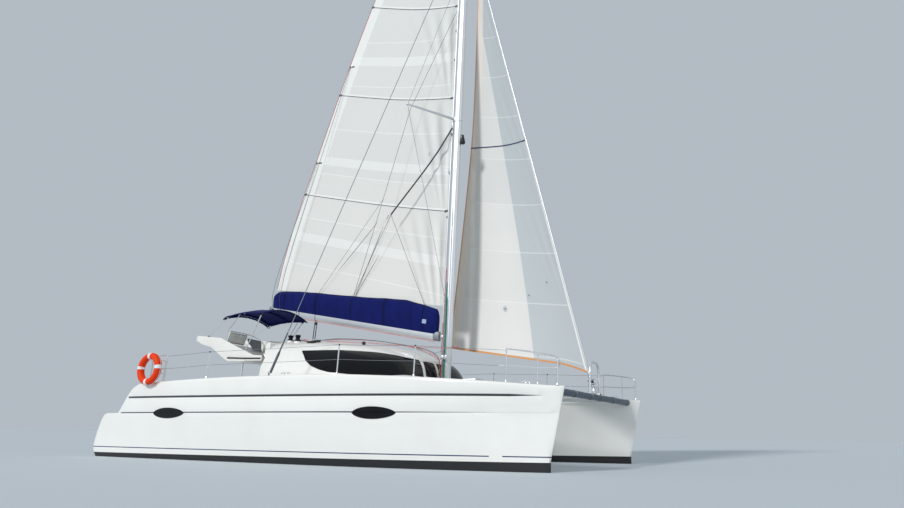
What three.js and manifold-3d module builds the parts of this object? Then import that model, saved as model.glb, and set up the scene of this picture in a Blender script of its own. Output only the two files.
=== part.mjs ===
// A cruising catamaran under sail: two hulls joined by a bridge deck, deckhouse, hardtop, mast and sails.
// Millimetres, +X to the bows, +Y to port, +Z up. Origin amidships on the centreline, on the waterline.
import * as THREE from "three";
import { mergeVertices } from "three/addons/utils/BufferGeometryUtils.js";
import Module from "manifold-3d";

const wasm = await Module();
wasm.setup();

// Driving dimensions
const HALF_LENGTH = 5975;
const HULL_MID = 2430; // centre plane of each hull, out from the boat's centreline
const DRAFT = 1200;
const GAP = 0.3; // between pieces that touch
const RUNNING = 6; // between pieces that move past each other
const DECK = 1700; // side decks amidships
const SOLE = 900; // cockpit and saloon floor
const TUNNEL = 720; // underside of the bridge deck
const TUNNEL_HALF = 1620; // half the width between the hulls at the bridge deck
const NACELLE_FRONT = 3300; // where the bridge deck ends and the nets begin
const BULKHEAD_X = -1250; // back wall of the deckhouse
const COCKPIT_END = -5050;
const MAST_X = 1980;
const MAST_FOOT = 1560;
const MASTHEAD = 17600;
const HOUNDS = 14600; // where the main stays meet the mast
const SPREADER_Z = 8560;
const BEAM_X = 5670; // forward crossbeam
const BEAM_Z = 1405;
const CHAINPLATE = [-260, 3230, 1690];
const HELM_Y = -1800; // middle of the raised helm seat

// Finishes
const GELCOAT = [0xf2f1ec, 0.25, 0];
const GLASS = [0x0c0e12, 0.06, 0];
const STAINLESS = [0xc9ccd0, 0.2, 1];
const ALUMINIUM = [0xdcdedf, 0.38, 0.8];
const SAILCLOTH = [0xe9e7e1, 0.75, 0];
const NAVY = [0x14235e, 0.9, 0];
const ANTIFOUL = [0x14161a, 0.8, 0];
const ORANGE = [0xe8431c, 0.6, 0];
const BRONZE = [0xa5824c, 0.35, 1];
const NETTING = [0xb9bcc0, 0.85, 0];

const root = new THREE.Group();

function add(name, geometry, [color, roughness, metalness]) {
  const material = new THREE.MeshStandardMaterial({ color, roughness, metalness });
  const mesh = new THREE.Mesh(geometry, material);
  mesh.name = name;
  root.add(mesh);
  return mesh;
}

// A geometry as a solid with its faces out, and a solid as a geometry
function solid(geometry) {
  const bare = geometry.index ? geometry.toNonIndexed() : geometry.clone();
  const points = new THREE.BufferGeometry().setAttribute("position", bare.getAttribute("position"));
  const merged = mergeVertices(points, 1e-3);
  const triVerts = new Uint32Array(merged.index.array);
  const vertProperties = merged.attributes.position.array;
  const made = new wasm.Manifold(new wasm.Mesh({ numProp: 3, vertProperties, triVerts }));
  if (made.volume() > 0) return made;
  for (let i = 0; i < triVerts.length; i += 3) {
    [triVerts[i + 1], triVerts[i + 2]] = [triVerts[i + 2], triVerts[i + 1]];
  }
  return new wasm.Manifold(new wasm.Mesh({ numProp: 3, vertProperties, triVerts }));
}

function geometryOf(made) {
  const { vertProperties, triVerts, numProp } = made.getMesh();
  const count = vertProperties.length / numProp;
  const position = new Float32Array(count * 3);
  for (let i = 0; i < count; i++) {
    position.set(vertProperties.subarray(i * numProp, i * numProp + 3), i * 3);
  }
  return new THREE.BufferGeometry()
    .setAttribute("position", new THREE.BufferAttribute(position, 3))
    .setIndex(new THREE.BufferAttribute(triVerts, 1));
}

// The largest body of a solid that was cut apart
function biggest(made) {
  return made.decompose().sort((a, b) => b.volume() - a.volume())[0];
}

function union(...parts) {
  return parts.reduce((sum, part) => sum.add(part));
}

// A box between two corners
function box(x0, x1, y0, y1, z0, z1) {
  const made = new THREE.BoxGeometry(x1 - x0, y1 - y0, z1 - z0);
  return solid(made.translate((x0 + x1) / 2, (y0 + y1) / 2, (z0 + z1) / 2));
}

// A straight round bar between two points, and one that tapers
function bar(a, b, radius, sides = 8, endRadius = radius) {
  const from = new THREE.Vector3(...a);
  const along = new THREE.Vector3(...b).sub(from);
  const made = new THREE.CylinderGeometry(endRadius, radius, along.length(), sides);
  made.translate(0, along.length() / 2, 0);
  const turn = new THREE.Quaternion().setFromUnitVectors(
    new THREE.Vector3(0, 1, 0),
    along.clone().normalize(),
  );
  return solid(made.applyQuaternion(turn).translate(...a));
}

// A bent tube: its route goes through the points with rounded corners
function tube(points, radius, sides = 8, steps = 6 * (points.length - 1)) {
  const route = new THREE.CatmullRomCurve3(
    points.map((p) => new THREE.Vector3(...p)),
    false,
    "centripetal",
  );
  const ring = new THREE.Shape();
  ring.absarc(0, 0, radius, 0, 2 * Math.PI, false);
  const options = { steps, curveSegments: sides / 2, extrudePath: route, bevelEnabled: false };
  return solid(new THREE.ExtrudeGeometry(ring, options));
}

// A skin over rings of equal point count, closed by flat ends
function loft(rings) {
  const n = rings[0].length;
  const position = rings.flat(2);
  const index = [];
  for (let i = 0; i + 1 < rings.length; i++) {
    for (let j = 0; j < n; j++) {
      const a = i * n + j;
      const b = i * n + ((j + 1) % n);
      index.push(a, b, b + n, a, b + n, a + n);
    }
  }
  for (const [ring, start, flip] of [[rings[0], 0, true], [rings.at(-1), (rings.length - 1) * n, false]]) {
    const flat = flatten(ring);
    for (const [a, b, c] of THREE.ShapeUtils.triangulateShape(flat, [])) {
      index.push(start + a, start + (flip ? c : b), start + (flip ? b : c));
    }
  }
  const made = new THREE.BufferGeometry();
  made.setAttribute("position", new THREE.Float32BufferAttribute(position, 3));
  return solid(made.setIndex(index));
}

// A ring's points in its own plane, turned the way they run round it
function flatten(ring) {
  const p = ring.map((q) => new THREE.Vector3(...q));
  const normal = new THREE.Vector3();
  p.forEach((q, i) => normal.add(q.clone().cross(p[(i + 1) % p.length])));
  normal.normalize();
  const u = new THREE.Vector3(1, 0, 0);
  if (Math.abs(normal.x) > 0.8) u.set(0, 1, 0);
  u.addScaledVector(normal, -u.dot(normal)).normalize();
  const v = normal.clone().cross(u);
  return p.map((q) => new THREE.Vector2(q.dot(u), q.dot(v)));
}

// An outline in the X-Z plane drawn across from y0 to y1, and one in plan drawn up from z0 to z1
function acrossY(outline, y0, y1) {
  const shape = new THREE.Shape(outline.map(([x, z]) => new THREE.Vector2(x, z)));
  const made = new THREE.ExtrudeGeometry(shape, { depth: y1 - y0, bevelEnabled: false });
  return solid(made.rotateX(Math.PI / 2).translate(0, y1, 0));
}

function upZ(outline, z0, z1) {
  const shape = new THREE.Shape(outline.map(([x, y]) => new THREE.Vector2(x, y)));
  const made = new THREE.ExtrudeGeometry(shape, { depth: z1 - z0, bevelEnabled: false });
  return solid(made.translate(0, 0, z0));
}

function mirrored(made) {
  return made.mirror([0, 1, 0]);
}

// Linear reading of a table whose first column is the place
function read(table, at) {
  const last = table.length - 1;
  let i = table.findIndex((row) => row[0] >= at);
  if (i < 0) i = last;
  if (i === 0) i = 1;
  const [low, high] = [table[i - 1], table[i]];
  const t = Math.min(1, Math.max(0, (at - low[0]) / (high[0] - low[0])));
  return low.map((value, k) => value + t * (high[k] - value));
}

// Hulls
// x, middle, keel line z, waterline half breadth, knuckle y, sheer y, sheer z, inner sheer y, tunnel y
const STATIONS = [
  [-5975, 2400, -30, 520, 2960, 2985, 1600, 1760, 1780],
  [-5000, 2405, -210, 575, 3080, 3110, 1640, 1640, 1690],
  [-3850, 2415, -380, 610, 3185, 3220, 1670, TUNNEL_HALF, TUNNEL_HALF],
  [-2100, 2420, -500, 630, 3265, 3305, 1710, TUNNEL_HALF, TUNNEL_HALF],
  [-300, 2425, -550, 635, 3300, 3350, 1720, TUNNEL_HALF, TUNNEL_HALF],
  [1500, 2430, -545, 615, 3285, 3340, 1705, TUNNEL_HALF, TUNNEL_HALF],
  [3300, 2435, -480, 480, 3120, 3200, 1625, TUNNEL_HALF, TUNNEL_HALF + 60],
  [4400, 2438, -400, 310, 2880, 2990, 1560, 1850, 2000],
  [5200, 2441, -330, 165, 2650, 2750, 1505, 2120, 2240],
  [5700, 2443, -260, 40, 2490, 2560, 1475, 2320, 2385],
];
const STEM_TOP = [HALF_LENGTH, 2443, 1462];

function hullRing([x, mid, keel, breadth, knuckle, sheer, deck, inner, tunnel]) {
  const floor = keel * 0.92;
  const ring = [
    [mid, keel],
    [mid + 0.55 * breadth, floor],
    [mid + 0.9 * breadth, 0.58 * keel],
    [mid + breadth, 0],
    [0.45 * (mid + breadth) + 0.55 * knuckle, 480],
    [knuckle, 985],
    [sheer - 8, 1330],
    [sheer, deck - 60],
    [sheer - 45, deck],
    [inner + 45, deck],
    [inner, deck - 60],
    [tunnel, TUNNEL],
    [mid - breadth, 0],
    [mid - 0.9 * breadth, 0.58 * keel],
    [mid - 0.55 * breadth, floor],
  ];
  return ring.map(([y, z]) => [x, y, z]);
}

// The stem: the last ring closes to a narrow blade that rakes forward from the waterline
function stemRing() {
  const [topX, mid, topZ] = STEM_TOP;
  const half = 26;
  const place = hullRing(STATIONS.at(-1)).map(([, , z]) => Math.min(z, topZ));
  return place.map((z, i) => {
    const x = topX - (topZ - z) * 0.205;
    const side = Math.sign(i < 9 ? (i === 0 ? 0 : 1) : -1);
    return [x, mid + side * half, i === 8 || i === 9 ? topZ : z];
  });
}

const WING = [
  [-6400, 1000], [-5560, 985], [-5060, 990], [-4620, 1500], [-4250, 1668], [-3950, 2200], [-6400, 2200],
];
const TRANSOM = [
  [-5560, 1100], [-5560, 985], [-5700, 930], [-5880, 620], [-5965, 300], [-5940, 160], [-5850, 20],
  [-5790, -300], [-6400, -300], [-6400, 1100],
];
const STEPS = [[-6100, -5430, 420], [-5430, -5060, 690], [-5060, -4700, 960], [-4700, -4340, 1230]];
const STEP_HALF = 430;
const PORTLIGHTS = { aft: [-3135, 1050], forward: [2460, 940] };
const PORTLIGHT = { height: 226, z: 982, point: 1.25 };
const RUDDER = { x: -4750, stock: 25, top: -205 };

function lens([at, length], shrink) {
  const [a, b] = [length / 2 - shrink, PORTLIGHT.height / 2 - shrink];
  const outline = [];
  for (let i = 0; i < 32; i++) {
    const t = (i / 32) * 2 * Math.PI;
    const rise = Math.sign(Math.sin(t)) * Math.abs(Math.sin(t)) ** PORTLIGHT.point;
    outline.push([at + a * Math.cos(t), PORTLIGHT.z + b * rise * (1 - 0.1 * Math.cos(t))]);
  }
  return outline;
}

function makeHull() {
  let hull = loft([...STATIONS.map(hullRing), stemRing()]);
  hull = hull.subtract(acrossY(WING, 1000, 3500)).subtract(acrossY(TRANSOM, 1000, 3500));
  for (const [x0, x1, z] of STEPS) {
    hull = hull.subtract(box(x0, x1, HULL_MID - STEP_HALF, HULL_MID + STEP_HALF, z, 2200));
  }
  for (const light of Object.values(PORTLIGHTS)) {
    hull = hull.subtract(acrossY(lens(light, 0), 3120, 3500));
  }
  const bore = bar([RUDDER.x, HULL_MID, -400], [RUDDER.x, HULL_MID, 150], RUDDER.stock + 1, 16);
  return hull.subtract(bore);
}
const hullPort = makeHull();
add("hull_port", geometryOf(hullPort), GELCOAT);
add("hull_starboard", geometryOf(mirrored(hullPort)), GELCOAT);

// Portlights: tinted lens-shaped panes set in the hull sides
for (const [place, light] of Object.entries(PORTLIGHTS)) {
  const face = read(STATIONS, light[0])[4];
  const pane = acrossY(lens(light, 4), 3120 + GAP, face + 2);
  add(`portlight_${place}_port`, geometryOf(pane), GLASS);
  add(`portlight_${place}_starboard`, geometryOf(mirrored(pane)), GLASS);
}

// Keels, rudders and the drives under each hull
function foil(chord, thick, at, y, z) {
  const ring = [];
  const half = [0, 0.06, 0.2, 0.4, 0.7, 1];
  const fat = [0, 0.6, 0.95, 1, 0.6, 0.04];
  for (let i = 0; i < 6; i++) ring.push([at - chord * half[i], y + 0.5 * thick * fat[i], z]);
  for (let i = 5; i > 0; i--) ring.push([at - chord * half[i], y - 0.5 * thick * fat[i], z]);
  return ring;
}
const keelBlade = loft([
  foil(1450, 150, 880, HULL_MID, -DRAFT),
  foil(1650, 210, 960, HULL_MID, -1120),
  foil(1950, 250, 1080, HULL_MID, -300),
]);
const hullUnder = hullPort.translate([0, 0, -GAP]);
const keel = biggest(keelBlade.subtract(hullUnder));
const rudderBlade = loft([
  foil(330, 40, RUDDER.x + 70, HULL_MID, -1010),
  foil(470, 70, RUDDER.x + 110, HULL_MID, -700),
  foil(520, 80, RUDDER.x + 130, HULL_MID, -290),
]);
const stockTop = [RUDDER.x, HULL_MID, 140];
const rudder = rudderBlade.add(bar([RUDDER.x, HULL_MID, -400], stockTop, RUDDER.stock, 16));
const DRIVE = { x: -3300, z: -860 };
const leg = union(
  loft([foil(330, 80, DRIVE.x + 150, HULL_MID, -800), foil(430, 120, DRIVE.x + 190, HULL_MID, -380)]),
  bar([DRIVE.x + 210, HULL_MID, DRIVE.z], [DRIVE.x - 190, HULL_MID, DRIVE.z], 62, 14),
  bar([DRIVE.x + 290, HULL_MID, DRIVE.z], [DRIVE.x + 209, HULL_MID, DRIVE.z], 12, 14, 62),
);
const SHAFT = 16;
const shaftBar = (radius) =>
  bar([DRIVE.x - 300, HULL_MID, DRIVE.z], [DRIVE.x - 100, HULL_MID, DRIVE.z], radius, 14);
const legClear = biggest(leg.subtract(shaftBar(SHAFT + 0.9)).subtract(hullUnder));

// radius, chord, pitch angle in degrees, thickness
const BLADE = [[25, 70, 52, 14], [110, 130, 36, 9], [190, 110, 26, 6], [225, 40, 22, 4]];
function makePropeller() {
  const hubAft = [DRIVE.x - 330, HULL_MID, DRIVE.z];
  let screw = bar([DRIVE.x - 190 - RUNNING, HULL_MID, DRIVE.z], hubAft, 45, 14, 32);
  screw = screw.add(shaftBar(SHAFT));
  for (let i = 0; i < 3; i++) {
    const rings = [];
    for (const [r, chord, pitch, thick] of BLADE) {
      const a = (pitch * Math.PI) / 180;
      const ring = [[-0.5, -0.5], [0.5, -0.5], [0.5, 0.5], [-0.5, 0.5]].map(([u, v]) => {
        const c = u * chord;
        const t = v * thick;
        return [c * Math.sin(a) + t * Math.cos(a), c * Math.cos(a) - t * Math.sin(a), r];
      });
      rings.push(ring);
    }
    const turn = (i * 2 * Math.PI) / 3;
    const placed = rings.map((ring) => ring.map(([x, y, z]) => [
      DRIVE.x - 262 + x,
      HULL_MID + y * Math.cos(turn) - z * Math.sin(turn),
      DRIVE.z + y * Math.sin(turn) + z * Math.cos(turn),
    ]));
    screw = screw.add(loft(placed));
  }
  return screw;
}
const propeller = makePropeller();
for (const [side, turnSide] of [["port", (s) => s], ["starboard", mirrored]]) {
  add(`keel_${side}`, geometryOf(turnSide(keel)), ANTIFOUL);
  add(`rudder_${side}`, geometryOf(turnSide(rudder)), ANTIFOUL);
  add(`drive_leg_${side}`, geometryOf(turnSide(legClear)), ANTIFOUL);
  add(`propeller_${side}`, geometryOf(turnSide(propeller)), BRONZE);
}

// Bridge deck: floor of saloon and cockpit, and the solid foredeck with two lockers
const DECK_HALF = TUNNEL_HALF - GAP;
const FOREDECK = 1540;
const bridgeProfile = [
  [COCKPIT_END, 1250], [COCKPIT_END - 60, 1200], [COCKPIT_END, TUNNEL], [2300, TUNNEL], [2900, 900],
  [NACELLE_FRONT, 1200], [NACELLE_FRONT, FOREDECK], [1900, FOREDECK], [1900, SOLE],
  [COCKPIT_END + 350, SOLE], [COCKPIT_END + 350, 1250],
];
const LOCKER = { x0: 2380, x1: 3080, y0: 160, y1: 1180, floor: 1060 };
let bridge = acrossY(bridgeProfile, -DECK_HALF, DECK_HALF);
for (const flip of [(s) => s, mirrored]) {
  const well = box(LOCKER.x0, LOCKER.x1, LOCKER.y0, LOCKER.y1, LOCKER.floor, 2000);
  const rebate = box(LOCKER.x0 - 40, LOCKER.x1 + 40, LOCKER.y0 - 40, LOCKER.y1 + 40, FOREDECK - 34, 2000);
  bridge = bridge.subtract(flip(well.add(rebate)));
}
add("bridge_deck", geometryOf(bridge), GELCOAT);
const LID_GAP = 8;
const lid = box(
  LOCKER.x0 - 40 + LID_GAP,
  LOCKER.x1 + 40 - LID_GAP,
  LOCKER.y0 - 40 + LID_GAP,
  LOCKER.y1 + 40 - LID_GAP,
  FOREDECK - 34 + GAP,
  FOREDECK + 8,
);
add("locker_lid_port", geometryOf(lid), GELCOAT);
add("locker_lid_starboard", geometryOf(mirrored(lid)), GELCOAT);

// Deckhouse: a shell on the side decks, its rings level from the deck to the roof
// front x, corner x, corner y, side x, side y, aft y, all at one height z
const HOUSE = [
  [1560, 1790, 1680, 1560, 900, 2330, 2560],
  [1960, 1760, 1630, 1450, 820, 2230, 2510],
  [2260, 1620, 1440, 1330, 640, 2060, 2400],
  [2480, 1250, 1000, 1220, 300, 1850, 2250],
  [2600, 820, 560, 1050, 0, 1560, 2050],
  [2680, 250, 0, 800, -350, 1200, 1700],
];
const WALL = 60;

function housePlan(row, inset = 0) {
  const [, front, cornerX, cornerY, sideX, sideY, aftY] = row;
  const half = [
    [front - inset, 500],
    [cornerX - 0.7 * inset, cornerY - 0.7 * inset],
    [sideX - 0.3 * inset, sideY - inset],
    [(sideX + BULKHEAD_X) / 2, (sideY + aftY) / 2 + 20 - inset],
    [BULKHEAD_X + (inset ? -1 : GAP), aftY - inset],
  ];
  const other = half.map(([x, y]) => [x, -y]).reverse();
  return [...half, ...other];
}
function houseBody(inset, low, high) {
  const rings = HOUSE.map((row, i) => {
    const z = i === 0 ? row[0] + low : row[0] + high;
    return housePlan(row, inset).map(([x, y]) => [x, y, z]);
  });
  return loft(rings);
}
const deckCut = box(BULKHEAD_X - 100, 4000, -4000, 4000, 1000, FOREDECK + GAP);
const deckUnder = hullPort.translate([0, 0, GAP]).add(hullPort.translate([0, -RUNNING, 0]));
const sideDeck = deckUnder.add(mirrored(deckUnder));
const outer = houseBody(0, 0, 0);
const inner = houseBody(WALL, -10, -45);
let house = outer.subtract(inner);
house = house.subtract(deckCut).subtract(sideDeck);
house = biggest(house);

// Window band: one outline in side view cut through each side and round the corner to the pillars,
// and two panes between the pillars, set in the openings
const SIDE_WINDOW = [
  [-450, 2370], [450, 2370], [1110, 2350], [1410, 2310], [1600, 2260], [1900, 2245], [1900, 1880],
  [1740, 1860], [1620, 1820], [1180, 1800], [950, 1810], [530, 1850], [270, 1910], [10, 2000],
  [-180, 2120], [-320, 2260],
];
const PILLAR = 600;
const FRONT_WINDOW = [[45, 1880], [PILLAR - 85, 1880], [PILLAR - 105, 2240], [45, 2240]];
function acrossX(outline, x0, x1) {
  const shape = new THREE.Shape(outline.map(([y, z]) => new THREE.Vector2(y, z)));
  const made = new THREE.ExtrudeGeometry(shape, { depth: x1 - x0, bevelEnabled: false });
  const turn = new THREE.Matrix4().set(0, 0, 1, x0, 1, 0, 0, 0, 0, 1, 0, 0, 0, 0, 0, 1);
  return solid(made.applyMatrix4(turn));
}
const sideCut = acrossY(SIDE_WINDOW, PILLAR, 3000);
const frontCut = acrossX(FRONT_WINDOW, 1350, 2200);
const paneShell = houseBody(14, 0, -10).subtract(houseBody(34, -10, -28));
for (const opening of [sideCut, frontCut]) house = house.subtract(opening).subtract(mirrored(opening));
add("deckhouse", geometryOf(house), GELCOAT);

function shrunk(outline, by) {
  const cx = outline.reduce((s, p) => s + p[0], 0) / outline.length;
  const cz = outline.reduce((s, p) => s + p[1], 0) / outline.length;
  const reach = Math.max(...outline.map(([x, z]) => Math.hypot(x - cx, z - cz)));
  const k = 1 - by / reach;
  return outline.map(([x, z]) => [cx + (x - cx) * k, cz + (z - cz) * k]);
}
const sidePane = biggest(paneShell.intersect(acrossY(shrunk(SIDE_WINDOW, 2), PILLAR + 1, 2998)));
const frontPane = biggest(paneShell.intersect(acrossX(shrunk(FRONT_WINDOW, 1), 1352, 2198)));
for (const [name, pane] of [["side_window", sidePane], ["windscreen", frontPane]]) {
  add(`${name}_port`, geometryOf(pane), GLASS);
  add(`${name}_starboard`, geometryOf(mirrored(pane)), GLASS);
}

// Back wall of the deckhouse with the door opening, and the sliding door behind it
const DOOR = { y0: 250, y1: 1100, top: 2450 };
const houseBack = housePlan(HOUSE[0])[4][1];
const backWall = [
  [-houseBack + 30, DECK + 30], [-DECK_HALF, DECK + 30], [-DECK_HALF, SOLE + GAP], [DECK_HALF, SOLE + GAP],
  [DECK_HALF, DECK + 30], [houseBack - 30, DECK + 30], [2500, 2000], [2390, 2260], [2240, 2480],
  [2030, 2600], [1690, 2680], [-1690, 2680], [-2030, 2600], [-2240, 2480], [-2390, 2260], [-2500, 2000],
];
const BULKHEAD_THICK = 50;
const doorHole = box(BULKHEAD_X - 200, BULKHEAD_X + 10, DOOR.y0, DOOR.y1, SOLE + 30, DOOR.top);
const passHole = box(BULKHEAD_X - 200, BULKHEAD_X + 10, -1150, -350, 1850, DOOR.top);
const bulkhead = acrossX(backWall, BULKHEAD_X - BULKHEAD_THICK, BULKHEAD_X)
  .subtract(doorHole)
  .subtract(passHole);
add("saloon_bulkhead", geometryOf(bulkhead), GELCOAT);
const doorFace = BULKHEAD_X - BULKHEAD_THICK - RUNNING;
const door = box(doorFace - 35, doorFace, DOOR.y0 - 40, DOOR.y1 + 40, SOLE + 12, DOOR.top + 45.4);
add("saloon_door", geometryOf(door), GLASS);
const wallFace = BULKHEAD_X - BULKHEAD_THICK - GAP;
const track = box(doorFace - 50, wallFace, -700, DOOR.y1 + 60, DOOR.top + 46, DOOR.top + 90);
add("door_track", geometryOf(track), ALUMINIUM);

// Cockpit: an L-shaped bench and a table
const bench = union(
  box(COCKPIT_END + 350 + GAP, COCKPIT_END + 900, -900, DECK_HALF - 1, SOLE + GAP, 1300),
  box(COCKPIT_END + 800, -2300, 1000, DECK_HALF - 1, SOLE + GAP, 1300),
);
add("cockpit_bench", geometryOf(bench), GELCOAT);
const table = union(
  box(-3900, -2600, -150, 750, 1560, 1600),
  bar([-3250, 300, SOLE + GAP], [-3250, 300, 1570], 55, 14),
  bar([-3250, 300, SOLE + GAP], [-3250, 300, SOLE + 30], 170, 18),
);
add("cockpit_table", geometryOf(table), GELCOAT);

// Hardtop over the cockpit, its starboard side dropped to carry the helm seat
const ROOF_AFT = -4060;
const ROOF_FRONT = BULKHEAD_X - BULKHEAD_THICK - GAP;
const topProfile = [
  [ROOF_AFT, 2820], [ROOF_AFT + 60, 2770], [-3600, 2760], [-2400, 2700], [ROOF_FRONT, 2630],
  [ROOF_FRONT, 2700], [-2400, 2790], [-3500, 2860], [ROOF_AFT + 60, 2870],
];
const SEAT = { front: -1980, back: -2620, top: 2330, shelf: 2600, inner: -1230, outer: -2370 };
const seatUnderside = [[-3430, 2610], [-3130, 2540], [-2640, 2240], [-2520, 2190]];
const seatProfile = [
  [ROOF_AFT, 2820], [ROOF_AFT + 80, 2765], [-3600, 2690], ...seatUnderside, [SEAT.front, 2165],
  [SEAT.front, SEAT.top], [SEAT.back, SEAT.top], [SEAT.back - 30, SEAT.shelf], [-3020, SEAT.shelf],
  [-3250, 2790], [ROOF_AFT + 60, 2870],
];
const SEAT_WALL = [
  [-3250, 2600], ...seatUnderside.slice(1), [SEAT.front, 2170], [SEAT.front, 2745], [-3250, 2745],
];
const COAMING = [
  [-1460, 2165], [-2520, 2192], [-2900, 2450], [-3200, 2600], [-3250, 2785], [-2840, 2745], [-2700, 2685],
  [-2190, 2480], [-1720, 2300], [-1460, 2280],
];
const STARBOARD_CORNER = [
  [-3560, -2400], [-3760, -2300], [-3950, -2130], [-4070, -1900], [-4200, -1900], [-4200, -2400],
];
const PORT_CORNER = [[-3700, 2200], [-3900, 2060], [-4070, 1850], [-4200, 1850], [-4200, 2200]];
const hardtop = union(
  acrossY(topProfile, SEAT.inner - 40, 2150),
  acrossY(seatProfile, SEAT.outer, SEAT.inner),
  acrossY(SEAT_WALL, SEAT.inner - 50, SEAT.inner),
  acrossY(COAMING, SEAT.outer, SEAT.outer + 30),
)
  .subtract(upZ(STARBOARD_CORNER, 2500, 3000))
  .subtract(upZ(PORT_CORNER, 2500, 3000));
add("cockpit_hardtop", geometryOf(hardtop), GELCOAT);
const POSTS = [
  ["hardtop_post_port", [-3750, 2000], DECK - 60, 2800],
  ["hardtop_post_starboard", [-2100, -2300], DECK - 30, 2250],
];
for (const [name, [x, y], low, high] of POSTS) {
  const whole = bar([x, y, low], [x, y, high], 24, 12).subtract(sideDeck);
  const made = whole.subtract(hardtop.translate([0, 0, -GAP]));
  add(name, geometryOf(biggest(made)), STAINLESS);
}

// Helm: console on the bulkhead, wheel, seat and its back
const CONSOLE = [
  [ROOF_FRONT, DECK + 60], [ROOF_FRONT, 2560], [-1345, 2590], [-1420, 2540], [-1440, 2350], [-1400, 2100],
  [-1400, DECK + 60],
];
const consoleBody = acrossY(CONSOLE, -2300, -1320);
const WHEEL = { x: -1560, z: 2230, radius: 350, tube: 17, shaft: 20 };
const shaftHole = bar([-1640, HELM_Y, WHEEL.z], [-1380, HELM_Y, WHEEL.z], WHEEL.shaft + 1, 14);
const footing = box(-1500, ROOF_FRONT, -2300, -1640, DECK + 20, DECK + 61);
const consoleWhole = consoleBody.add(footing).subtract(shaftHole).subtract(sideDeck);
add("helm_console", geometryOf(biggest(consoleWhole)), GELCOAT);

const rim = new THREE.TorusGeometry(WHEEL.radius, WHEEL.tube, 8, 36);
let wheel = solid(rim.rotateY(Math.PI / 2).translate(WHEEL.x, HELM_Y, WHEEL.z));
for (let i = 0; i < 5; i++) {
  const a = Math.PI / 2 + (i * 2 * Math.PI) / 5;
  const end = [WHEEL.x, HELM_Y + WHEEL.radius * Math.cos(a), WHEEL.z + WHEEL.radius * Math.sin(a)];
  wheel = wheel.add(bar([WHEEL.x + 12, HELM_Y, WHEEL.z], end, 9));
}
wheel = wheel.add(bar([WHEEL.x - 25, HELM_Y, WHEEL.z], [WHEEL.x + 30, HELM_Y, WHEEL.z], 55, 16));
wheel = wheel.add(bar([WHEEL.x, HELM_Y, WHEEL.z], [-1388, HELM_Y, WHEEL.z], WHEEL.shaft, 14));
add("steering_wheel", geometryOf(wheel), STAINLESS);

const cushion = box(SEAT.back + 20, SEAT.front - 20, SEAT.outer + 90, SEAT.inner - 90, SEAT.top + GAP, 2450);
add("helm_seat_cushion", geometryOf(cushion), GELCOAT);
const BACK = [[-2800, 2620], [-2725, 2620], [-2625, 2900], [-2700, 2900]];
const backRest = acrossY(BACK, SEAT.outer + 70, SEAT.outer + 620);
const backPosts = [-2250, -1800].map((y) => bar([-2775, y, SEAT.shelf - 5], [-2755, y, 2640], 14));
add("helm_seat_back", geometryOf(union(backRest, ...backPosts).subtract(hardtopGrown())), GELCOAT);
function hardtopGrown() {
  return hardtop.translate([0, 0, GAP]);
}

// Bimini: stainless bows and rails with the canvas pulled over them
// x, edge z, bow foot x, bow foot z
const BIMINI = [
  [-2640, 3200, -3330, 2800],
  [-2300, 3250, 0, 0],
  [-1900, 3265, 0, 0],
  [-1440, 3235, -2080, 2330],
];
const BIMINI_HALF = 700;
const CROWN = 160;
const BOW = 12;
const acrossSteps = [-1, -0.8, -0.5, 0, 0.5, 0.8, 1];
const crownAt = (t) => CROWN * (1 - t * t);

function biminiSection([x, edge], lower, upper, hem) {
  const under = acrossSteps.map((t) => [x, HELM_Y + t * BIMINI_HALF, edge + crownAt(t) + lower]);
  const over = acrossSteps.map((t) => [x, HELM_Y + t * (BIMINI_HALF + 12), edge + crownAt(t) + upper]);
  under[0][2] -= hem;
  under.at(-1)[2] -= hem;
  return [...under, ...over.reverse()];
}
const canvas = loft([
  biminiSection([BIMINI[0][0] - 30, BIMINI[0][1] - 45], 0, 14, 0),
  ...BIMINI.map((row) => biminiSection(row, 6, 22, 0)),
  biminiSection([BIMINI.at(-1)[0] + 40, BIMINI.at(-1)[1] - 30], 4, 16, 0),
]);
const inside = (x) => Math.max(BIMINI[0][0] + 24, Math.min(BIMINI.at(-1)[0] - 24, x));
const under = (x, edge, t) => [inside(x), HELM_Y + t * BIMINI_HALF, edge + crownAt(t) - BOW + 2.9];
const chain = (points) => points.slice(1).map((p, i) => bar(points[i], p, BOW, 8));
const frameParts = [-0.94, 0.94].flatMap((t) => chain(BIMINI.map(([x, edge]) => under(x, edge, t))));
for (const [x, edge, footX, footZ] of BIMINI.filter((row) => row[2])) {
  frameParts.push(...chain(acrossSteps.map((t) => under(x, edge, t * 0.97))));
  for (const t of [-0.94, 0.94]) {
    const top = x + (x < -2600 ? 120 : -60);
    const joint = under(top, read(BIMINI, top)[1], t);
    frameParts.push(bar([footX, HELM_Y + t * BIMINI_HALF * 0.79, footZ], joint, BOW, 8));
  }
}
const frame = union(...frameParts).subtract(hardtopGrown()).subtract(outer.translate([0, 0, GAP]));
add("bimini_frame", geometryOf(biggest(frame)), STAINLESS);
add("bimini_canvas", geometryOf(canvas), NAVY);

// Winches on the deckhouse roof by the helm
for (const [i, x] of [[1, -1150], [2, -930]]) {
  const y = -1850;
  const winch = bar([x, y, 2560], [x, y, 2790], 75, 16, 52).subtract(outer.translate([0, 0, GAP]));
  add(`winch_${i}`, geometryOf(biggest(winch)), STAINLESS);
}

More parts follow.
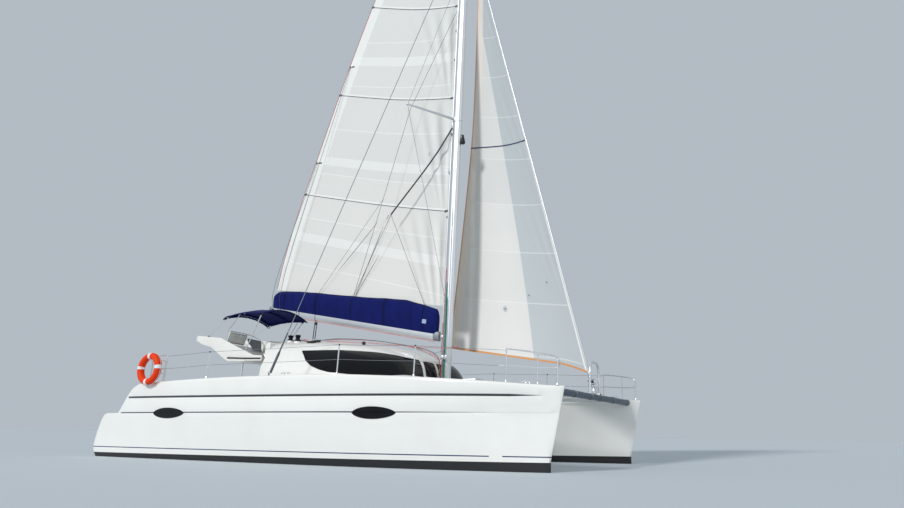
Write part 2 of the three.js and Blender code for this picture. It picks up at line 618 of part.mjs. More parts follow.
// Forward beam between the bows, with the striker, the centre strut and the two nets
const BEAM_R = 65;
const rawBeam = bar([BEAM_X, -2400, BEAM_Z], [BEAM_X, 2400, BEAM_Z], BEAM_R, 16);
const beam = rawBeam
  .subtract(hullPort.translate([0, -GAP, 0]))
  .subtract(mirrored(hullPort).translate([0, GAP, 0]));
add("forward_crossbeam", geometryOf(biggest(beam)), ALUMINIUM);
const strut = box(NACELLE_FRONT + GAP, BEAM_X - 40, -60, 60, 1385, 1480).subtract(
  bar([BEAM_X, -300, BEAM_Z], [BEAM_X, 300, BEAM_Z], BEAM_R + GAP, 16),
);
add("centre_strut", geometryOf(biggest(strut)), GELCOAT);
const beamTop = BEAM_Z + BEAM_R;
const striker = union(
  tube([
    [BEAM_X, -290, beamTop - 12], [BEAM_X, -275, 1950], [BEAM_X, -140, 2130],
    [BEAM_X, 140, 2130], [BEAM_X, 275, 1950], [BEAM_X, 290, beamTop - 12],
  ], 22, 10, 20),
  box(BEAM_X + 20, BEAM_X + 140, -60, 60, beamTop - 25, beamTop + 18),
  bar([BEAM_X, -282, 1620], [BEAM_X, 282, 1620], 14, 8),
  box(BEAM_X + 8, BEAM_X + 36, -50, 50, beamTop + 17, 1625),
).subtract(bar([BEAM_X, -400, BEAM_Z], [BEAM_X, 400, BEAM_Z], BEAM_R + GAP, 16));
add("anchor_striker", geometryOf(biggest(striker)), STAINLESS);
const NET = [
  [NACELLE_FRONT + GAP, 61], [BEAM_X - 50, 61], [BEAM_X - 50, 2235], [5200, 2085],
  [4400, 1825], [NACELLE_FRONT + GAP, 1600],
];
const beamGrown = bar([BEAM_X, -2500, BEAM_Z], [BEAM_X, 2500, BEAM_Z], BEAM_R + GAP, 16);
const net = upZ(NET, 1412, 1422).subtract(beamGrown);
add("net_port", geometryOf(net), NETTING);
add("net_starboard", geometryOf(mirrored(net)), NETTING);

// Rails: tubes along the hull edge, each route [x, y, height over the deck]
const deckAt = (x) => read(STATIONS, x)[6];
const RAIL = 13;
const railY = (x) => read(STATIONS, x)[5] - 90;
function post(x, height, lean = 0) {
  return bar([x, railY(x), deckAt(x) + GAP], [x - lean, railY(x), deckAt(x) + height], RAIL);
}
function run(places, radius, steps) {
  const route = places.map(([x, height, inward = 0]) => [x, railY(x) - inward, deckAt(x) + height]);
  return tube(route, radius, 8, steps);
}
const pulpit = union(
  post(4960, 600),
  post(5500, 560),
  bar([5850, 2470, 1470 + GAP], [5850, 2460, 1930], RAIL),
  run([[4960, 600], [5500, 560], [5780, 510], [5870, 440, 30], [5850, 330, 90]], RAIL, 20),
  bar([4960, railY(4960), deckAt(4960) + 300], [5500, railY(5500), deckAt(5500) + 290], 11),
  bar([5500, railY(5500), deckAt(5500) + 290], [5850, 2463, 1770], 11),
);
const guard = union(
  ...[-2100, 1540, 3240].map((x) => post(x, 580)),
  ...[290, 575].flatMap((h) => [[-3560, -2100], [-2100, 1540], [1540, 3240], [3240, 4945]].map(([a, b]) =>
    bar([a, railY(a), deckAt(a) + h], [b, railY(b), deckAt(b) + h], 6, 6),
  )),
);
const sternRun = (h) => [
  [-3580, h], [-3800, h], [-4020, h], [-4150, h - 30, 60], [-4190, h - 50, 200], [-4190, h - 50, 420],
];
const sternY = railY(-4190) - 420;
const pushpit = union(
  post(-3580, 600),
  post(-4080, 600),
  ...[600, 300].map((h) => run(sternRun(h), RAIL, 18)),
  bar([-4190, sternY, deckAt(-4190) + GAP], [-4190, sternY, deckAt(-4190) + 560], RAIL),
);
// Lifebuoy hung outside the starboard pushpit on two arms from its posts
const BUOY = { x: -3880, y: -3310, z: 1957, radius: 290, tube: 80 };
const ARM_END = BUOY.y + BUOY.tube + GAP;
const buoyArms = [[-3590, BUOY.z], [-4080, BUOY.z + 210]].map(([x, z]) =>
  bar([x, -railY(x), z], [x, ARM_END, z], 10),
);
for (const [name, made] of [["pulpit", pulpit], ["guardrail", guard], ["pushpit", pushpit]]) {
  const seated = biggest(made.subtract(hullPort.translate([0, 0, GAP])));
  const extra = name === "pushpit" ? buoyArms : [];
  add(`${name}_port`, geometryOf(seated), STAINLESS);
  add(`${name}_starboard`, geometryOf(union(mirrored(seated), ...extra)), STAINLESS);
}
const buoy = new THREE.TorusGeometry(BUOY.radius, BUOY.tube, 12, 28);
add("lifebuoy", buoy.rotateX(Math.PI / 2).translate(BUOY.x, BUOY.y, BUOY.z), ORANGE);

// Mast with swept spreaders, and the stays that hold it
const MAST = { long: 130, wide: 80 };
function mastRing(z, k) {
  const ring = [];
  for (let i = 0; i < 16; i++) {
    const a = (i / 16) * 2 * Math.PI;
    ring.push([MAST_X + MAST.long * k * Math.cos(a), MAST.wide * k * Math.sin(a), z]);
  }
  return ring;
}
const AXIS_X = MAST_X - MAST.long - 50; // the boom turns about an upright pin just aft of the mast
const GOOSENECK = 2870;
const bracket = box(AXIS_X - 20, MAST_X - MAST.long + 20, -20, 20, GOOSENECK - 30, GOOSENECK + 30);
const mast = union(
  loft([mastRing(MAST_FOOT, 1), mastRing(HOUNDS, 1), mastRing(MASTHEAD, 0.72)]),
  box(MAST_X - 150, MAST_X + 190, -130, 130, FOREDECK + GAP, MAST_FOOT + 20),
  bracket,
  bar([AXIS_X, 0, GOOSENECK - 60], [AXIS_X, 0, GOOSENECK + 60], 9, 12),
);
const SPREADER_TIP = [1240, 1200, SPREADER_Z + 40];
const spreaderRoot = [MAST_X - 40, 60, SPREADER_Z];
const oneSpreader = bar(spreaderRoot, SPREADER_TIP, 45, 10, 26);
const rootHalf = MAST.wide + 18;
const spreaders = union(
  oneSpreader,
  mirrored(oneSpreader),
  box(MAST_X - MAST.long - 20, MAST_X + 60, -rootHalf, rootHalf, SPREADER_Z - 50, SPREADER_Z + 50),
).subtract(loft([mastRing(SPREADER_Z - 100, 1.004), mastRing(SPREADER_Z + 100, 1.004)]));
add("mast", geometryOf(mast), ALUMINIUM);
add("spreaders", geometryOf(biggest(spreaders)), ALUMINIUM);

const mastClear = loft([mastRing(MAST_FOOT, 1.006), mastRing(HOUNDS + 400, 1.006)]);
const shroud = union(
  bar([MAST_X - 30, 70, HOUNDS], CHAINPLATE, 8),
  bar(CHAINPLATE, [CHAINPLATE[0] + 140, CHAINPLATE[1] - 200, CHAINPLATE[2] + 800], 16, 8, 14),
).subtract(mastClear).subtract(hullPort.translate([0, 0, GAP])).subtract(spreaders);
add("cap_shroud_port", geometryOf(biggest(shroud)), STAINLESS);
add("cap_shroud_starboard", geometryOf(mirrored(biggest(shroud))), STAINLESS);

const stayFoot = [BEAM_X - 5, BEAM_Z + BEAM_R];
const stayAt = (z) => stayFoot[0] - ((stayFoot[0] - 2075) * (z - stayFoot[1])) / (HOUNDS - stayFoot[1]);
const stayPoint = (z, back = 0) => [stayAt(z) - back, 0, z];
const furler = union(
  bar(stayPoint(stayFoot[1] - 10), stayPoint(HOUNDS), 16, 8),
  bar(stayPoint(1640), stayPoint(1800), 85, 16),
)
  .subtract(mastClear)
  .subtract(beamGrown);
add("forestay_furler", geometryOf(biggest(furler)), ALUMINIUM);

// Sails: rows from foot to head, each from luff to leech, bellied to port
const BELLY = [0, 0.55, 0.9, 1, 0.75, 0.4, 0];
const CLOTH = 12;
function sailRow([luff, leech, belly], thick = CLOTH) {
  const from = new THREE.Vector3(...luff);
  const to = new THREE.Vector3(...leech);
  const chord = to.clone().sub(from);
  const out = new THREE.Vector3(-chord.y, chord.x, 0).normalize();
  if (out.y < 0) out.negate();
  const at = (i, side) => from
    .clone()
    .addScaledVector(chord, i / (BELLY.length - 1))
    .addScaledVector(out, belly * BELLY[i] * chord.length() + (side * thick) / 2)
    .toArray();
  const near = BELLY.map((_, i) => at(i, -1));
  const far = BELLY.map((_, i) => at(i, 1)).reverse();
  return [...near, ...far];
}
// luff z, leech x, leech z, belly
const MAIN = [
  [3620, -3720, 4460, 0.005],
  [4700, -3560, 5400, 0.02],
  [6300, -3190, 6880, 0.035],
  [7700, -2780, 8170, 0.04],
  [9900, -2140, 10230, 0.045],
  [11950, -1480, 12180, 0.04],
  [13600, -860, 13800, 0.035],
  [15300, 0, 15450, 0.03],
  [16500, 850, 16600, 0.02],
  [17300, 1560, 17340, 0.01],
];
const mainRows = MAIN.map(([z, x, leechZ, belly]) => [[AXIS_X + 10, 0, z], [x, 0, leechZ], belly]);
add("mainsail", geometryOf(loft(mainRows.map((row) => sailRow(row)))), SAILCLOTH);
// luff z, leech x, leech y, leech z, belly
const GENOA = [
  [2020, 1320, 1100, 2750, 0.01],
  [3200, 1480, 1060, 4000, 0.04],
  [5200, 1700, 980, 6100, 0.06],
  [7600, 1950, 820, 8440, 0.06],
  [9800, 2100, 610, 10400, 0.055],
  [12000, 2260, 320, 12400, 0.045],
  [13200, 2330, 150, 13450, 0.03],
  [14000, 2210, 16, 14080, 0.01],
];
const genoaRows = GENOA.map(([z, x, y, leechZ, belly]) => [stayPoint(z, 24), [x, y, leechZ], belly]);
const genoaRings = genoaRows.map((row) => sailRow(row));
for (const corner of [genoaRings[0].at(0), genoaRings[0].at(-1)]) {
  corner[0] += 30; // the foot turns down to the tack
  corner[2] -= 110;
}
const genoa = loft(genoaRings).subtract(bar(stayPoint(1700), stayPoint(HOUNDS), 17, 8));
add("genoa", geometryOf(biggest(genoa)), SAILCLOTH);

// Boom: rises aft, with lugs round the gooseneck bracket, and the bag along its top
const BOOM_RISE = 0.187;
const BOOM = { front: AXIS_X - 36, aft: -3880, half: 62, height: 235, z: 2755 };
const boomLow = (x) => BOOM.z + (BOOM.front - x) * BOOM_RISE;
function boomRing(x, k) {
  const ring = [];
  for (const [u, v] of [[-0.7, 0], [0.7, 0], [1, 0.2], [1, 0.8], [0.7, 1], [-0.7, 1], [-1, 0.8], [-1, 0.2]]) {
    ring.push([x, u * BOOM.half * k, boomLow(x) + v * BOOM.height * k]);
  }
  return ring;
}
const lugZ = [GOOSENECK - 31 - 12, GOOSENECK + 31];
const lugs = lugZ.map((z) => upZ([
  [AXIS_X + 22, -16], [AXIS_X + 22, 16], [BOOM.front - 20, 40], [BOOM.front - 20, -40],
], z, z + 12));
const pinHole = bar([AXIS_X, 0, GOOSENECK - 80], [AXIS_X, 0, GOOSENECK + 80], 10, 12);
const spar = loft([boomRing(BOOM.front, 1), boomRing(BOOM.aft + 700, 1), boomRing(BOOM.aft, 0.8)]);
const boom = union(spar, ...lugs).subtract(pinHole);
add("boom", geometryOf(boom), ALUMINIUM);
// x, bag top z
const BAG = [
  [1690, 3480], [1640, 3560], [740, 3850], [-760, 4040], [-2860, 4350], [-3600, 4400], [-3740, 4330],
];
function bagRing([x, top]) {
  const low = boomLow(x) + BOOM.height - 60;
  const w = 1 - 0.35 * (x > 1600 || x < -3700 ? 1 : 0);
  const half = [[66, 0], [105, 0.25], [115, 0.6], [80, 0.92], [12, 1]];
  const right = half.map(([y, t]) => [x, y * w + (1 - w) * 64 * (t < 0.1 ? 1 : 0), low + t * (top - low)]);
  const left = right.map(([, y, z]) => [x, -y, z]).reverse();
  return [...right, ...left];
}
const boomGrown = loft([BOOM.front + 50, BOOM.aft - 100].map((x) => boomRing(x, 1).map(([a, y, z]) => [
  a, y + Math.sign(y) * 0.4, z + (z > boomLow(x) + 100 ? 0.4 : -0.4),
])));
const sailSlot = loft(mainRows.map((row) => sailRow(row, CLOTH + 3 * GAP)));
const bag = loft(BAG.map(bagRing))
  .subtract(boomGrown)
  .subtract(sailSlot.add(sailSlot.translate([0, 0, -GAP])));
add("sail_bag", geometryOf(biggest(bag)), NAVY);

export default root;
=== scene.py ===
from math import copysign, cos, pi, radians, sin, sqrt

import bpy
import numpy as np
from mathutils import Matrix, Vector


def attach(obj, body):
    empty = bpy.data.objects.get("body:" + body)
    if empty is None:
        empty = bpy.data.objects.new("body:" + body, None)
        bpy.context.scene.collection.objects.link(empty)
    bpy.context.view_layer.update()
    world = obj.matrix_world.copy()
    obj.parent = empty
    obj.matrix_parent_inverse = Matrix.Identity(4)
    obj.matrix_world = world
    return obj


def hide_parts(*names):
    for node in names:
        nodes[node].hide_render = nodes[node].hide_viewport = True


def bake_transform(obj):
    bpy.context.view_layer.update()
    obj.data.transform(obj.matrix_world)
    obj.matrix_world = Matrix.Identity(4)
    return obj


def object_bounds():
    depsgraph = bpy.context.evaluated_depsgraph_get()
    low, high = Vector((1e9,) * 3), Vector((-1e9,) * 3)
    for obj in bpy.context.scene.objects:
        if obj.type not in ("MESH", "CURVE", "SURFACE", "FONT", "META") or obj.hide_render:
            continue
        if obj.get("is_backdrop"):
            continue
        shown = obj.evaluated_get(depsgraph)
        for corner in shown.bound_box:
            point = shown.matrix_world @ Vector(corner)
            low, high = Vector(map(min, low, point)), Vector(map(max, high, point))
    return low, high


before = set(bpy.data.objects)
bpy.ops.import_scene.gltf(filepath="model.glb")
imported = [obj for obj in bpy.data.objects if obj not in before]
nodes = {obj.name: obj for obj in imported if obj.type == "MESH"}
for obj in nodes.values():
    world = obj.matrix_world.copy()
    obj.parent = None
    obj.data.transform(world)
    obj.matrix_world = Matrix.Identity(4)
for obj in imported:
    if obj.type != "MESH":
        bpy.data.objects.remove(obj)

cad_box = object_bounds()


# Camera: low over the floor off the starboard bow, with a wide lens that looks up at the rig. Its place, its
# turn and its focal length were solved from the bows, the waterline and the mast.
EYE = (10.3229, -13.2840, 0.6150)
AHEAD = (-0.41213508, 0.87064717, 0.26854829)
RIGHT = (0.90540909, 0.42431374, 0.01386452)
UP = (0.10187763, -0.24886012, 0.96316644)
camera = bpy.data.objects.new("camera", bpy.data.cameras.new("camera"))
bpy.context.scene.collection.objects.link(camera)
facing = Matrix((RIGHT, UP, [-v for v in AHEAD])).transposed()
camera.matrix_world = Matrix.Translation(EYE) @ facing.to_4x4()
FOCAL, PICTURE_WIDE, SENSOR = 652.2, 904, 36
camera.data.lens = FOCAL / PICTURE_WIDE * SENSOR
camera.data.shift_x = -0.0822
camera.data.shift_y = -0.0006
camera.data.clip_end = 400
bpy.context.scene.camera = camera


# Studio: a pale matt floor at the waterline, a soft sun from the starboard side with a weak wide fill from
# ahead, and a pale sky all round.
def linear(code):
    parts = [int(code[i : i + 2], 16) / 255 for i in (0, 2, 4)]
    return (*[c / 12.92 if c <= 0.04045 else ((c + 0.055) / 1.055) ** 2.4 for c in parts], 1)


def node(tree, kind, inputs=None, out=0, **settings):
    """Adds a node with its settings; each input gets a value, a colour, or a link from an output."""
    made = tree.nodes.new("ShaderNode" + kind)
    for key, value in settings.items():
        setattr(made, key, value)
    for key, value in (inputs or {}).items():
        if isinstance(value, bpy.types.NodeSocket):
            tree.links.new(value, made.inputs[key])
        else:
            made.inputs[key].default_value = linear(value) if isinstance(value, str) else value
    return made.outputs[out]


def finish(name, colour, roughness, metallic=0.0, **more):
    made = bpy.data.materials.new(name)
    made.use_nodes = True
    shader = made.node_tree.nodes["Principled BSDF"]
    shader.inputs["Base Color"].default_value = linear(colour)
    shader.inputs["Roughness"].default_value = roughness
    shader.inputs["Metallic"].default_value = metallic
    for key, value in more.items():
        shader.inputs[key.replace("_", " ")].default_value = value
    return made


def clear():
    if bpy.context.object and bpy.context.object.mode == "EDIT":
        bpy.ops.object.mode_set(mode="OBJECT")
    bpy.ops.object.select_all(action="DESELECT")


clear()
bpy.ops.mesh.primitive_circle_add(vertices=96, radius=380, fill_type="NGON", location=(0, 0, 0))
floor = bpy.context.object
floor.name = "floor"
floor.data.materials.append(finish("studio floor", "c4cbd0", 0.9))
floor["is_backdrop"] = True
world = bpy.data.worlds.new("studio")
bpy.context.scene.world = world
world.use_nodes = True
bpy.context.scene.view_settings.view_transform = "Standard"
world.node_tree.nodes["Background"].inputs["Color"].default_value = linear("cfd9e2")
world.node_tree.nodes["Background"].inputs["Strength"].default_value = 0.72
LAMPS = (("key", (-5, -22, 17), 9, 1.92), ("fill", (20, -12, 12), 40, 0.25))
for name, place_at, angle, power in LAMPS:
    lamp = bpy.data.lights.new(name, "SUN")
    lamp.angle = radians(angle)
    lamp.energy = power
    holder = bpy.data.objects.new(name, lamp)
    holder.rotation_euler = (Vector((0, 0, 4)) - Vector(place_at)).to_track_quat("-Z", "Y").to_euler()
    bpy.context.scene.collection.objects.link(holder)


# Hulls: two hand-laid glass fibre shells in white gelcoat, each with a chine along the portlights, a dark
# recessed line under the deck edge, and a stern cut away into a low platform and three boarding steps.
# x, middle, keel z, half breadth at the water, chine y, deck edge y, deck z, inner deck edge y, tunnel y
STATIONS = [
    (-5.975, 2.400, -0.030, 0.520, 2.960, 2.985, 1.600, 1.760, 1.780),
    (-5.000, 2.405, -0.210, 0.575, 3.080, 3.110, 1.640, 1.640, 1.690),
    (-3.850, 2.415, -0.380, 0.610, 3.185, 3.220, 1.670, 1.6205, 1.6205),
    (-2.100, 2.420, -0.500, 0.630, 3.265, 3.305, 1.710, 1.6205, 1.6205),
    (-0.300, 2.425, -0.550, 0.635, 3.300, 3.350, 1.720, 1.6205, 1.6205),
    (1.500, 2.430, -0.545, 0.615, 3.285, 3.340, 1.705, 1.6205, 1.6205),
    (3.300, 2.435, -0.480, 0.480, 3.120, 3.200, 1.625, 1.6205, 1.680),
    (4.400, 2.438, -0.400, 0.310, 2.880, 2.990, 1.560, 1.850, 2.000),
    (5.200, 2.441, -0.330, 0.165, 2.650, 2.750, 1.505, 2.120, 2.240),
    (5.700, 2.443, -0.260, 0.040, 2.490, 2.560, 1.475, 2.320, 2.385),
]
HULL_MID = 2.43
STEM_TOP = (5.975, 2.443, 1.462)
STEM_RAKE = 0.205
CHINE_Z = 0.985
TUNNEL_Z = 0.72


def fair(grid, steps, sharp=()):
    """More rows between the given ones, on smooth lines that turn sharply only at the rows named."""
    grid = np.asarray(grid, float)
    cuts = [0, *sharp, len(grid) - 1]
    out = []
    for a, b in zip(cuts, cuts[1:]):
        part = grid[a : b + 1]
        step = np.diff(part, axis=0)
        gap = np.sqrt((step**2).sum(-1)).reshape(len(step), -1).mean(1) ** 0.5 + 1e-6
        gap = gap.reshape(-1, *[1] * (grid.ndim - 1))
        slope = step / gap
        turn = np.concatenate([slope[:1], slope[-1:]])
        if len(part) > 2:
            inner = (slope[:-1] * gap[1:] + slope[1:] * gap[:-1]) / (gap[1:] + gap[:-1])
            turn = np.concatenate([slope[:1], inner, slope[-1:]])
        for i in range(len(part) - 1):
            for t in np.arange(steps) / steps:
                a0 = 2 * t**3 - 3 * t**2 + 1
                b0 = (t**3 - 2 * t**2 + t) * gap[i]
                b1 = (t**3 - t**2) * gap[i]
                out.append(a0 * part[i] + b0 * turn[i] + (1 - a0) * part[i + 1] + b1 * turn[i + 1])
    out.append(grid[-1])
    return np.array(out)


def skin(name, grid, wrap=True, caps=True):
    """A primitive grid whose points are set on the rows given, closed round and at its ends."""
    grid = np.asarray(grid, float)
    if wrap:
        grid = np.concatenate([grid, grid[:, :1]], axis=1)
    rows, columns = grid.shape[:2]
    clear()
    bpy.ops.mesh.primitive_grid_add(x_subdivisions=columns - 1, y_subdivisions=rows - 1)
    made = bpy.context.object
    made.name = made.data.name = name
    made.data.vertices.foreach_set("co", grid.reshape(-1))
    bpy.ops.object.mode_set(mode="EDIT")
    bpy.ops.mesh.select_all(action="SELECT")
    bpy.ops.mesh.remove_doubles(threshold=1e-5)
    if wrap and caps:
        bpy.ops.mesh.fill_holes(sides=0)
    bpy.ops.mesh.select_all(action="SELECT")
    bpy.ops.mesh.normals_make_consistent(inside=False)
    clear()
    return made


def apply(piece, kind, **settings):
    clear()
    bpy.context.view_layer.objects.active = piece
    piece.select_set(True)
    made = piece.modifiers.new(kind.lower(), kind)
    for key, value in settings.items():
        setattr(made, key, value)
    bpy.ops.object.modifier_apply(modifier=made.name)
    clear()


def soften(piece, width, segments, angle):
    """Rounds the edges that are sharper than an angle."""
    apply(piece, "BEVEL", width=width, segments=segments, limit_method="ANGLE", angle_limit=radians(angle))


def cut(piece, *tools, operation="DIFFERENCE"):
    for tool in tools:
        apply(piece, "BOOLEAN", object=tool, operation=operation, solver="EXACT")
        bpy.data.objects.remove(tool)


def prism(name, outline, axis, low, high):
    """An outline in one plane drawn along the third axis: x-z along y, x-y along z, or y-z along x."""
    place = {
        "y": lambda a, b, c: (a, c, b), "z": lambda a, b, c: (a, b, c), "x": lambda a, b, c: (c, a, b)
    }[axis]
    return skin(name, [[place(a, b, c) for a, b in outline] for c in (low, high)])


def block(name, low, high, edge=0.0, segments=3):
    """A box with rounded edges between two corners."""
    clear()
    size = Vector(high) - Vector(low)
    bpy.ops.mesh.primitive_cube_add(size=1, location=(Vector(low) + Vector(high)) / 2, scale=size)
    bpy.ops.object.transform_apply(location=True, rotation=True, scale=True)
    made = bpy.context.object
    made.name = made.data.name = name
    if edge:
        bpy.ops.object.mode_set(mode="EDIT")
        bpy.ops.mesh.select_all(action="SELECT")
        bpy.ops.mesh.bevel(offset=edge, segments=segments, affect="EDGES")
    clear()
    return made


def copied(piece, name, mirror=True):
    made = piece.copy()
    made.data = piece.data.copy()
    made.name = made.data.name = name
    bpy.context.scene.collection.objects.link(made)
    if mirror:
        made.data.transform(Matrix.Scale(-1, 4, (0, 1, 0)))
        made.data.flip_normals()
    return made


def place(piece, slot, material, *stands_for, body="hulls", angle=38):
    """The last things done to a piece: shading, finish, and the body it moves with."""
    clear()
    bpy.context.view_layer.objects.active = piece
    piece.select_set(True)
    if angle:
        bpy.ops.object.shade_smooth_by_angle(angle=radians(angle))
    piece.data.materials.clear()
    piece.data.materials.append(material)
    if body:
        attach(piece, body)
    if stands_for:
        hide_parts(*stands_for)
    clear()
    return piece


def both_sides(piece, slot, material, stands_for=None, angle=38):
    """Places a port piece and its mirror image to starboard, and gives back the two."""
    other = copied(piece, piece.name.removesuffix("port") + "starboard")
    for made, side in ((other, "starboard"), (piece, "port")):
        place(made, slot, material, *([f"{stands_for}_{side}"] if stands_for else []), angle=angle)
    return piece, other


def read(table, at):
    """One row of a table, in between its rows where needed."""
    table = np.asarray(table, float)
    return [np.interp(at, table[:, 0], column) for column in table.T]


GROOVE_HALF, GROOVE_DEEP = 0.020, 0.011
GROOVE_Z, GROOVE_FALL, GROOVE_END = 1.318, 0.0045, 5.62


def groove_share(x):
    """How deep the recessed line is at a place along the hull: it runs out at both ends."""
    return float(np.clip((x + 4.75) / 0.25, 0, 1) * np.clip((GROOVE_END - x) / 0.6, 0, 1) ** 0.7)


def hull_section(row):
    x, mid, keel, breadth, chine, edge, deck, inner, tunnel = row
    bottom = [
        (mid - breadth, 0.0), (mid - 0.9 * breadth, 0.58 * keel), (mid - 0.55 * breadth, 0.92 * keel),
        (mid, keel), (mid + 0.55 * breadth, 0.92 * keel), (mid + 0.9 * breadth, 0.58 * keel),
        (mid + breadth, 0.0), (0.45 * (mid + breadth) + 0.55 * chine, 0.48), (chine, CHINE_Z),
    ]
    ring = [tuple(p) for p in fair(bottom, 5)]
    line, share = GROOVE_Z - GROOVE_FALL * x, groove_share(x)
    side = lambda z: chine + (edge - chine) * min(1, (z - CHINE_Z) / (deck - 0.06 - CHINE_Z))
    tall, deep = GROOVE_HALF * (0.35 + 0.65 * share), GROOVE_DEEP * share
    nick = 0.007 * float(np.clip((x + 5.05) / 0.3, 0, 1) * np.clip((4.9 - x) / 1.2, 0, 1))
    ring += [(side(CHINE_Z + 0.004) - nick, CHINE_Z + 0.003), (side(CHINE_Z + 0.014) - nick, CHINE_Z + 0.014)]
    ring += [(side(CHINE_Z + 0.02) + 0.003, CHINE_Z + 0.018), (side(1.15), 1.15)]
    lips = ((line - tall - 0.004, 0), (line - tall, deep), (line + tall, deep), (line + tall + 0.004, 0))
    ring += [(side(z) - d, z) for z, d in lips]
    for t in np.linspace(0, pi / 2, 5):
        ring.append((edge - 0.045 + 0.045 * cos(t), deck - 0.06 + 0.06 * sin(t)))
    ring += [(edge + (inner - edge) * t, deck) for t in (0.25, 0.5, 0.75)]
    for t in np.linspace(pi / 2, 0, 4):
        ring.append((inner + 0.045 - 0.045 * cos(t), deck - 0.06 + 0.06 * sin(t)))
    ring += [(inner + (tunnel - inner) * 0.5, (deck - 0.06 + TUNNEL_Z) / 2), (tunnel, TUNNEL_Z)]
    ring += [(tunnel + (mid - breadth - tunnel) * t, TUNNEL_Z * (1 - t)) for t in (0.35, 0.7)]
    return [(x, y, z) for y, z in ring]


fair_lines = fair(STATIONS, 7)
hull_rows = [hull_section(row) for row in fair_lines]
last = hull_rows[-1]
stem = lambda z: (STEM_TOP[0] - (STEM_TOP[2] - z) * STEM_RAKE, STEM_TOP[1], z)
blade = [stem(min(z, STEM_TOP[2])) for _, _, z in last]
for share, half in ((0.34, 0.72), (0.67, 0.45), (0.93, 0.24), (1.0, 0.08)):
    row = []
    for a, b in zip(last, blade):
        row.append((a[0] + (b[0] - a[0]) * share, b[1] + (a[1] - b[1]) * half, a[2] + (b[2] - a[2]) * share))
    hull_rows.append(row)
hull = skin("hull_shell_port", hull_rows)

WING = [(-6.4, 1.0), (-5.56, 0.985), (-5.06, 0.99), (-4.62, 1.5), (-4.25, 1.668), (-3.95, 2.2), (-6.4, 2.2)]
TRANSOM = [
    (-5.56, 1.1), (-5.56, 0.985), (-5.70, 0.93), (-5.88, 0.62), (-5.965, 0.30), (-5.94, 0.16), (-5.85, 0.02),
    (-5.79, -0.3), (-6.4, -0.3), (-6.4, 1.1),
]
round_wing = [tuple(p) for p in fair([(x, z) for x, z in WING[1:5]], 5, (1,))]
round_stern = [tuple(p) for p in fair([(x, z) for x, z in TRANSOM[1:8]], 4)]
for outline in ([WING[0], *round_wing, *WING[5:]], [TRANSOM[0], *round_stern, *TRANSOM[8:]]):
    cut(hull, prism("stern", outline, "y", 1.0, 3.5))
STEPS = [(-6.1, -5.43, 0.42), (-5.43, -5.06, 0.69), (-5.06, -4.70, 0.96), (-4.70, -4.34, 1.23)]
STEP_HALF = 0.43
for x0, x1, z in STEPS:
    cut(hull, block("step", (x0 - 0.03, HULL_MID - STEP_HALF, z), (x1, HULL_MID + STEP_HALF, 2.2), 0.028))
PORTLIGHTS = {"aft": (-3.135, 1.05), "forward": (2.46, 0.94)}
PORTLIGHT_TALL, PORTLIGHT_Z, PORTLIGHT_POINT = 0.226, 0.982, 1.25


def circle(count):
    return [2 * pi * i / count for i in range(count)]


def lens(light, grow=0.0):
    """The outline of a portlight, an ellipse drawn to a point at both ends."""
    at, length = light
    a, b = length / 2 + grow, PORTLIGHT_TALL / 2 + grow
    outline = []
    for t in circle(64):
        rise = copysign(abs(sin(t)) ** PORTLIGHT_POINT, sin(t))
        outline.append((at + a * cos(t), PORTLIGHT_Z + b * rise * (1 - 0.1 * cos(t))))
    return outline


uncut = copied(hull, "uncut_hull", mirror=False)
for light in PORTLIGHTS.values():
    cut(hull, prism("pocket", lens(light), "y", 3.12, 3.5))
soften(hull, 0.005, 2, 42)
starboard_hull = copied(hull, "hull_shell_starboard")


# The sockets of a node that lays one colour over another by a share.
SHARE, UNDER, OVER = 0, 6, 7
LAYERED = {"out": 2, "data_type": "RGBA"}


def patterned(*settings, **more):
    """A finish, its node tree, and the place on the object that its pattern is drawn from."""
    made = finish(*settings, **more)
    return made, made.node_tree, node(made.node_tree, "TexCoord", out="Object")


def fed(made, **patterns):
    """A finish with patterns led to its own inputs."""
    shader = made.node_tree.nodes["Principled BSDF"]
    for key, source in patterns.items():
        made.node_tree.links.new(source, shader.inputs[key.replace("_", " ")])
    return made


def toned(made, share, tone, other, height, strength, deep, invert=False):
    """A finish in two tones that a pattern shares out, with the relief of another pattern."""
    tree = made.node_tree
    shade = node(tree, "Mix", {SHARE: share, UNDER: tone, OVER: other}, **LAYERED)
    relief = node(tree, "Bump", {"Height": height, "Strength": strength, "Distance": deep}, invert=invert)
    return fed(made, Base_Color=shade, Normal=relief)


